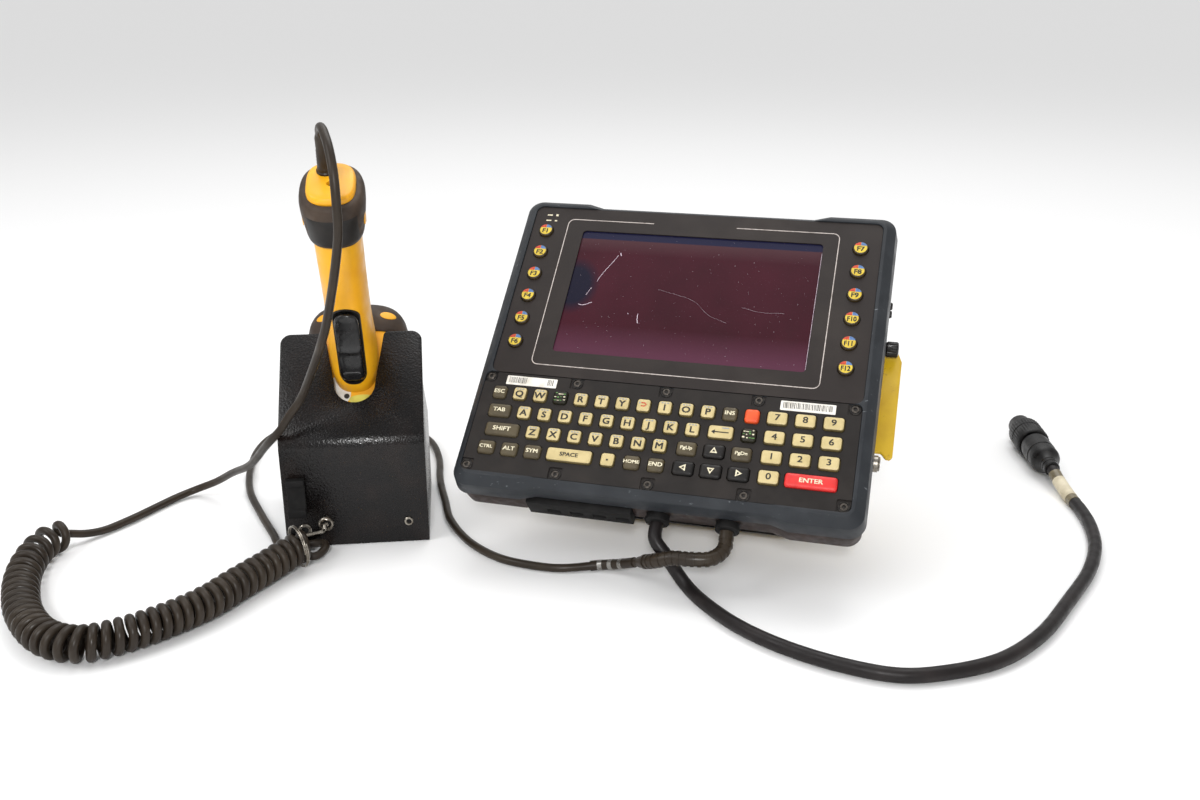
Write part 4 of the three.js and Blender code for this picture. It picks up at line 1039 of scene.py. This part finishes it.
def carve(thing, cutter_bm, place):
    """Cuts a drawn shape out of a finished piece."""
    cutter_bm.transform(TO_METRES @ place)
    bmesh.ops.recalc_face_normals(cutter_bm, faces=cutter_bm.faces)
    mesh = bpy.data.meshes.new("cutter")
    cutter_bm.to_mesh(mesh)
    cutter_bm.free()
    cutter = added("cutter", mesh)
    cut = thing.modifiers.new("cut", "BOOLEAN")
    cut.operation = "DIFFERENCE"
    cut.solver = "EXACT"
    cut.object = cutter
    graph = bpy.context.evaluated_depsgraph_get()
    result = bpy.data.meshes.new_from_object(thing.evaluated_get(graph))
    thing.modifiers.clear()
    thing.data = result
    bpy.data.objects.remove(cutter)
    bm = bmesh.new()
    bm.from_mesh(result)
    shade(bm)
    bm.to_mesh(result)
    bm.free()


def build_holster():
    into_box = HOLSTER.inverted()
    into_slope = SLOPE.inverted()

    def outer_fold(point):
        p = into_box @ point
        return abs(p.x) < 20 and abs(p.y) < 1 and abs(p.z - 69) < 1

    def inner_fold(point):
        p = into_box @ point
        return abs(p.x) < 20 and 1 < p.y < 3.5 and abs(p.z - 68) < 2

    def corner(point):
        p = into_slope @ point
        return -1.6 < p.z < -0.4 and p.y > 66 and abs(p.x) > 15

    rounds = [(outer_fold, 4.5, 6), (inner_fold, 2.4, 4), (corner, 2.2, 4)]
    refined("holster_front", "powder_coat", 0.35, 2, rounds)
    refined("holster_body", "powder_coat", 0.35, 2)
    refined("cord_clip", "seal", 0.5, 2)

    bm = bmesh.new()
    rivet = [(2.9, -0.05), (2.9, 0.5), (2.5, 1.0), (1.7, 1.0), (1.4, 0.3)]
    grommet = [(4.1, -0.05), (4.1, 0.6), (3.6, 1.1), (2.4, 1.1), (2.2, 0.2)]
    eyelet = [(4.9, -0.05), (4.9, 0.5), (4.4, 1.3), (3.6, 1.7), (2.9, 1.4), (2.6, 0.2)]
    for ring, sides, x, z, hole in (
        (rivet, 32, 31.7, 14, [(1.38, -0.02), (1.38, 0.32)]),
        (grommet, 32, -32.3, 11.4, [(2.15, -0.02), (2.15, 0.22)]),
        (eyelet, 36, *EYELET, [(2.55, -0.02), (2.55, 0.22)]),
    ):
        place = moved(x, 0, z) @ turned(180, "Z")
        lathe(bm, ring, sides, place)
        lathe(bm, hole, 20, place, 1)
    piece("rivets", bm, HOLSTER, ["nickel", "seal"], "base")

    # The tether: a swivel link from the eyelet to a split ring round the coil's last turns.
    lowest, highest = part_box("tether_ring")
    centre = (lowest + highest) * 500
    heading = Vector((0.8, 0.6, 0.04)).normalized()
    side = heading.cross(Vector((0, 0, 1))).normalized()
    up = side.cross(heading)
    steps = 64
    loop = []
    for i in range(2 * steps + 6):
        angle = 2 * math.pi * i / steps
        spoke = SPLIT_RING["radius"] * (math.cos(angle) * side + math.sin(angle) * up)
        loop.append(centre + spoke + heading * (i / steps - 1))
    bm = bmesh.new()
    tube(bm, loop, SPLIT_RING["wire"] / 2, 10)
    piece("split_ring", bm, ROW, ["nickel"], "base", ["tether_ring"])
    eyelet = HOLSTER @ Vector((EYELET[0], -1.6, EYELET[1]))
    catch = min(loop, key=lambda p: (p - eyelet).length)
    bm = bmesh.new()
    drop = (catch - eyelet).normalized()
    tube(bm, [eyelet + drop * t for t in (-1, 0, 2)], 1.5, 14)
    knuckle = [eyelet + Vector(step) for step in ((0, -2.4, 0.6), (0, -3.6, -0.6), (-1, -3.4, -2.4))]
    knuckle += [eyelet.lerp(catch, 0.55) + Vector((0, -2, -1)), catch + Vector((0, 0, 0.6))]
    tube(bm, smooth_line(knuckle, 1), lambda share: 1.5 - 0.7 * share, 12)
    piece("swivel_link", bm, ROW, ["nickel"], "base")


# ------------------------------------------------------------------ reader

# How square the cross-sections are: 2 is an ellipse.
BARREL_POWER = 2.8
GRIP_POWER = 2.5
# Stations along the barrel: place, half width, height of its handle side and of its other side, slant.
HEAD = [
    (1, 33, -13, -53, 24), (16, 32, -9, -56, 12), (38, 31, -8, -58, 0), (62, 31, -8, -58, 0),
    (80, 31, -8, -57, 0),
]
BUMPER = [
    (80.2, 31.6, -7.2, -57.8, 0), (82, 32.5, -6.5, -58.5, 0), (90, 32, -6.5, -57.5, 0),
    (97, 29.4, -8.6, -55, 0), (102.4, 24.4, -13.4, -50.4, 0), (105.2, 17, -21, -44, 0), (106, 8, -29, -36, 0),
]
NOSE = [
    (-8, 31.5, -15.5, -51.5, 24), (-6.6, 33.6, -13.4, -53.6, 24), (-5, 34.4, -12.6, -54.4, 24),
    (0.7, 34.4, -12.6, -54.4, 24),
]
# Stations along the handle: place, half width, half depth.
GRIP = [
    (-20, 13.5, 19), (-4, 14.4, 20.5), (8, 14.5, 19.4), (30, 13.5, 17.8), (60, 13.2, 17.3), (90, 13.4, 17.6),
    (127.7, 13.6, 18),
]
GRIP_BOOT = [
    (102.6, 14.4, 18.7), (103.2, 15.5, 20), (105, 16.1, 20.7), (110, 16.8, 21.5), (117, 17.6, 22.3),
    (123, 18, 22.5), (127, 17.8, 22.2), (130, 16.8, 21.2), (131, 15.6, 19.6), (131.2, 14.6, 18.4),
]
BOOT_PANEL = {"low": 104, "height": 20.4, "half_width": 14.6}
# The oval on each side of the boot: its middle and half height along the handle, the angle round the
# handle where it sits and half of the angle that it spans, and the half width and depth of its cross-section.
BOOT_OVAL = {"middle": 114.5, "half_y": 5.2, "turn": 13, "reach": 7, "half_x": 17.4, "half_z": 22}
END_CAP = [(128, 13.4, 17.2), (132, 13.5, 17.2), (134, 12.9, 16.3), (134.8, 11.8, 15.1), (135, 10, 13)]
# Stations along the trigger: place, half width, its back and its front over its seat.
TRIGGER_SEAT = 18.5
TRIGGER = [
    (-4, 2.5, -0.8, 0.9), (-3, 5.4, -1, 2), (-0.5, 6.9, -1.2, 3.8), (2, 7.2, -1.2, 4.5), (4, 7.3, -1.2, 4.6),
    (12, 7.3, -1.2, 4.4), (20, 7.2, -1.2, 3.4), (24, 7.1, -1.2, 3.9), (27, 7.1, -1.2, 2.2),
    (36, 7.2, -1.2, 1.8), (45, 7.1, -1.2, 2.6), (49, 6.2, -1.2, 2.8), (51, 4.2, -1, 2.2), (52, 2, -0.8, 1.4),
]
# The trigger's well in the handle: the hole and where its middle and its floor are.
WELL = {"width": 15, "height": 59.1, "radius": 7.1, "middle": 24.2, "floor": 12.6}


def steps_along(stations, count):
    first, last = stations[0][0], stations[-1][0]
    return [first + (last - first) * i / count for i in range(count + 1)]


def barrel(bm, stations, count):
    """A smooth body along the reader's barrel."""
    rings = []
    for y in steps_along(stations, count):
        half, front, back, slant = eased(stations, y)
        lean = math.tan(math.radians(slant))
        rings.append([
            Vector((x, y + lean * z, (front + back) / 2 + z))
            for x, z in superellipse(half, (front - back) / 2, BARREL_POWER)
        ])
    skin(bm, rings)


def grip(bm, stations, count, power=GRIP_POWER):
    """A smooth body along the reader's handle."""
    rings = []
    for y in steps_along(stations, count):
        rings.append([Vector((x, y, z)) for x, z in superellipse(*eased(stations, y), power)])
    skin(bm, rings)


def bulge(x, half, power):
    """Height of a superellipse over its middle line, as a share of its half height."""
    return (1 - min(abs(x) / half, 1) ** power) ** (1 / power)


def grip_surface(x, y, stations=GRIP):
    """How far forward the handle's surface is at a place on its front."""
    half_x, half_z = eased(stations, y)
    return half_z * bulge(x, half_x, GRIP_POWER)


def head_surface(x, y, stations):
    """Height of the head's handle side over a place on it."""
    half, front, back, _ = eased(stations, y)
    return (front + back) / 2 + (front - back) / 2 * bulge(x, half, BARREL_POWER)


def oval(x, y, half_x, half_y, power=1):
    """A patch's outline: an oval, or nearly a box at a low power."""
    def outline(angle, reach):
        across, along = (
            math.copysign(abs(value) ** power, value) for value in (math.cos(angle), math.sin(angle))
        )
        return (x + half_x * reach * across, y + half_y * reach * along)
    return outline


def patch(bm, outline, stations, lift, slot=0):
    """A thin flush patch on the head: the outline is a function from an angle and reach to x and y."""
    centre = outline(0, 0)
    middle = bm.verts.new((centre[0], centre[1], head_surface(*centre, stations) + lift))
    rows, count = 8, 28
    last = None
    for row in range(1, rows + 1):
        ring = []
        for i in range(count):
            x, y = outline(2 * math.pi * i / count, row / rows)
            edge = lift if row < rows else -0.2
            ring.append(bm.verts.new((x, y, head_surface(x, y, stations) + edge)))
        for i in range(count):
            j = (i + 1) % count
            corners = (middle, ring[i], ring[j]) if last is None else (last[i], ring[i], ring[j], last[j])
            bm.faces.new(corners).material_index = slot
        last = ring


def grid_faces(bm, rows):
    for low, high in zip(rows, rows[1:]):
        for k in range(len(low) - 1):
            bm.faces.new((low[k], low[k + 1], high[k + 1], high[k]))


def build_head():
    bm = bmesh.new()
    barrel(bm, HEAD, 40)
    head = piece("reader_head", bm, READER, ["reader_yellow"], "scanner", ["scanner_head"])
    cutter = bmesh.new()
    mouth = [(y, half - 4, front - 4, back + 4, slant) for y, half, front, back, slant in HEAD[:3]]
    mouth = [(-3, *mouth[0][1:])] + mouth
    barrel(cutter, mouth, 12)
    carve(head, cutter, READER)

    bm = bmesh.new()
    barrel(bm, BUMPER, 44)
    piece("reader_bumper", bm, READER, ["reader_rubber"], "scanner", ["rear_bumper"])
    bm = bmesh.new()
    for side in (-1, 1):
        patch(bm, oval(side * 20.5, 91.5, 5.2, 3), BUMPER, 0.35)
    piece("bumper_ovals", bm, READER, ["reader_yellow"], "scanner")

    bm = bmesh.new()
    barrel(bm, NOSE, 14)
    nose = piece("reader_nose", bm, READER, ["reader_rubber"], "scanner", ["nose_boot"])
    cutter = bmesh.new()
    barrel(cutter, [(-12, 29.5, -17.5, -49.5, 24), (4, 29.5, -17.5, -49.5, 24)], 2)
    carve(nose, cutter, READER)
    bm = bmesh.new()
    barrel(bm, [(-5.5, 29.2, -17.8, -49.2, 24), (-3.5, 29.2, -17.8, -49.2, 24)], 2)
    piece("reader_window", bm, READER, ["scan_window"], "scanner", ["scan_window"])

    # A plain two-tone label on the head in front of the trigger.
    bm = bmesh.new()
    patch(bm, oval(-9, 40, 6.5, 10.5, 0.6), HEAD, 0.1)
    patch(bm, oval(4.5, 32, 9.5, 3.4), HEAD, 0.16, slot=1)
    patch(bm, oval(-5.6, 34.4, 1.9, 1.9), HEAD, 0.2, slot=2)
    piece("head_label", bm, READER, ["label", "lime", "ink_dark"], "scanner")

    # Status lamp and sound slots on the side that faces away from the handle.
    bm = bmesh.new()
    lathe(bm, [(3.2, -0.4), (3.2, 0.6), (2.6, 1.1)], 28, moved(0, 66, -58) @ turned(-90, "X"), 0)
    for i in range(3):
        pillow(bm, 16, 1.2, 0.5, 0, 52 - 3 * i, [(0, -58.5), (0, -57)], [1, 1])
    piece("head_lamp", bm, READER, ["ink_red", "seal"], "scanner")


def build_handle():
    bm = bmesh.new()
    grip(bm, GRIP, 60)
    handle = piece("reader_handle", bm, HANDLE, ["reader_yellow"], "scanner", ["scanner_handle"])
    cutter = bmesh.new()
    pillow(cutter, 15.4, 59.5, 7.4, 0, WELL["middle"], [(0, 13.4), (0, 40)], steps=6)
    carve(handle, cutter, HANDLE)

    bm = bmesh.new()
    rings = []
    for grow, lift in ((0.9, None), (0.9, -0.5), (0.85, 0.3), (0.6, 0.75), (0.1, 0.7), (0, 0.2), (0, None)):
        width, height = WELL["width"] + 2 * grow, WELL["height"] + 2 * grow
        outline = rounded(width, height, WELL["radius"] + grow, 0, WELL["middle"], 0, 8)
        for p in outline:
            p.z = WELL["floor"] if lift is None else grip_surface(p.x, p.y) + lift
        rings.append(outline)
    skin(bm, [*rings, rings[0]], caps=False)
    bmesh.ops.remove_doubles(bm, verts=bm.verts, dist=1e-4)
    pillow(bm, 15.2, 59.3, 7.2, 0, WELL["middle"], [(0, 12.8), (0, 13.9)])
    piece("trigger_rim", bm, HANDLE, ["reader_rubber_dark"], "scanner")

    bm = bmesh.new()
    rings = []
    for y in steps_along(TRIGGER, 56):
        half, low, high = eased(TRIGGER, y)
        rings.append([
            Vector((x, y, TRIGGER_SEAT + (low + high) / 2 + z))
            for x, z in superellipse(half, (high - low) / 2, BARREL_POWER, 56)
        ])
    skin(bm, rings)
    pillow(bm, 11.6, 8, 3, 0, 3.6, [(0, 21), (0, 22.9), (0.5, 23.25), (1.1, 23.3)], [1, 1, 1, 1])
    looks = ["trigger_black", "trigger_facet"]
    piece("reader_trigger", bm, HANDLE, looks, "trigger", ["trigger"], sharp=60)

    bm = bmesh.new()
    grip(bm, GRIP_BOOT, 44)
    boot = piece("reader_grip_boot", bm, HANDLE, ["reader_rubber"], "scanner", ["grip_boot"])
    cutter = bmesh.new()
    grip(cutter, [(100, 13.7, 18.1), (140, 13.7, 18.1)], 2)
    carve(boot, cutter, HANDLE)
    bm = bmesh.new()
    rows = []
    for i in range(21):
        y = BOOT_PANEL["low"] + BOOT_PANEL["height"] * i / 20
        row = []
        for k in range(29):
            reach = k / 14 - 1
            x = BOOT_PANEL["half_width"] * reach
            near = min(1 - abs(reach), min(i, 20 - i) / 10)
            lift = -0.5 if near == 0 else min(0.45, 0.1 + near * 1.2)
            row.append(bm.verts.new((x, y, grip_surface(x, y, GRIP_BOOT) + lift)))
        rows.append(row)
    grid_faces(bm, rows)
    piece("boot_panel", bm, HANDLE, ["reader_rubber_dark"], "scanner")
    bm = bmesh.new()
    for side in (-1, 1):
        grid = []
        for i in range(9):
            row = []
            for k in range(9):
                spread = math.sqrt(max(0, 1 - (i / 4 - 1) ** 2))
                turn = math.radians(BOOT_OVAL["turn"] + BOOT_OVAL["reach"] * (k / 4 - 1) * spread)
                x = BOOT_OVAL["half_x"] * math.cos(turn) ** 0.8
                z = BOOT_OVAL["half_z"] * math.sin(turn) ** 0.8
                y = BOOT_OVAL["middle"] + BOOT_OVAL["half_y"] * (i / 4 - 1)
                grow = 1.012 if 0 < k < 8 and 0 < i < 8 else 0.99
                row.append(bm.verts.new((side * x * grow, y, z * grow)))
            grid.append(row)
        grid_faces(bm, grid)
    piece("boot_ovals", bm, HANDLE, ["reader_yellow"], "scanner")

    bm = bmesh.new()
    grip(bm, END_CAP, 28, power=3)
    butt = piece("reader_butt", bm, HANDLE, ["reader_yellow"], "scanner", ["end_cap"])
    cutter = bmesh.new()
    lathe(cutter, [(2.1, 131), (2.1, 140)], 24, moved(0, 0, 3))
    carve(butt, cutter, HANDLE)
    bm = bmesh.new()
    lathe(bm, [(1.9, 131), (1.9, 132.6), (1.5, 133), (0.9, 133), (0.8, 132.3)], 20, moved(0, 0, 3))
    piece("butt_screw", bm, HANDLE, ["dark_steel"], "scanner")

    bm = bmesh.new()
    profile = [(4.9, 134.7), (4.9, 136), (4.3, 136.6), (4.2, 138)]
    profile += [(4.1 - 0.045 * k - (0.25 if k % 2 else 0), 139 + k) for k in range(12)]
    profile += [(3.4, 152), (3.3, 156.8), (2.8, 158.8)]
    lathe(bm, profile, 24, moved(-3, 0, -8))
    piece("reader_gland", bm, HANDLE, ["cord_grey"], "scanner", ["scanner_gland"])


# ------------------------------------------------------------------ studio


def build_studio():
    bm = bmesh.new()
    half = 40
    corners = [(side * half, end * half, -0.0004) for side, end in ((-1, -1), (1, -1), (1, 1), (-1, 1))]
    bm.faces.new([bm.verts.new(corner) for corner in corners])
    mesh = bpy.data.meshes.new("floor")
    bm.to_mesh(mesh)
    bm.free()
    mesh.materials.append(Finish("floor", (242, 242, 242), 0.95).material)
    added("floor", mesh)
    sun = added("sky", bpy.data.lights.new("sky", "SUN"))
    sun.data.energy = 0.9
    sun.data.angle = math.radians(70)
    sun.rotation_euler = (math.radians(-25), 0, 0)

    world = bpy.data.worlds.new("studio")
    world.use_nodes = True
    background = world.node_tree.nodes["Background"]
    background.inputs["Color"].default_value = (1, 1, 1, 1)
    background.inputs["Strength"].default_value = 0.55
    bpy.context.scene.world = world
    aim = Vector((-0.05, -0.05, 0.08))
    lights = (
        ("flash", (-0.1, -1.15, 0.63), 0.14, 7),
        ("left", (-1.3, -0.7, 1.3), 0.9, 10),
        ("top", (0.2, 0.7, 1.9), 1.3, 12),
    )
    for name, place, size, power in lights:
        light = bpy.data.lights.new(name, "AREA")
        light.energy = power
        light.size = size
        lamp = added(name, light)
        lamp.location = place
        lamp.rotation_euler = (aim - Vector(place)).to_track_quat("-Z", "Y").to_euler()


bpy.context.scene.view_settings.view_transform = "Standard"
case_finishes()
key_finishes()
metal_finishes()
reader_finishes()
cord_finishes()
print_finishes()
power, power_line, band = build_cords()
build_connector()
build_terminal()
build_fittings()
build_holster()
build_head()
build_handle()
repaint("scan_engine", "scan_engine")
build_studio()
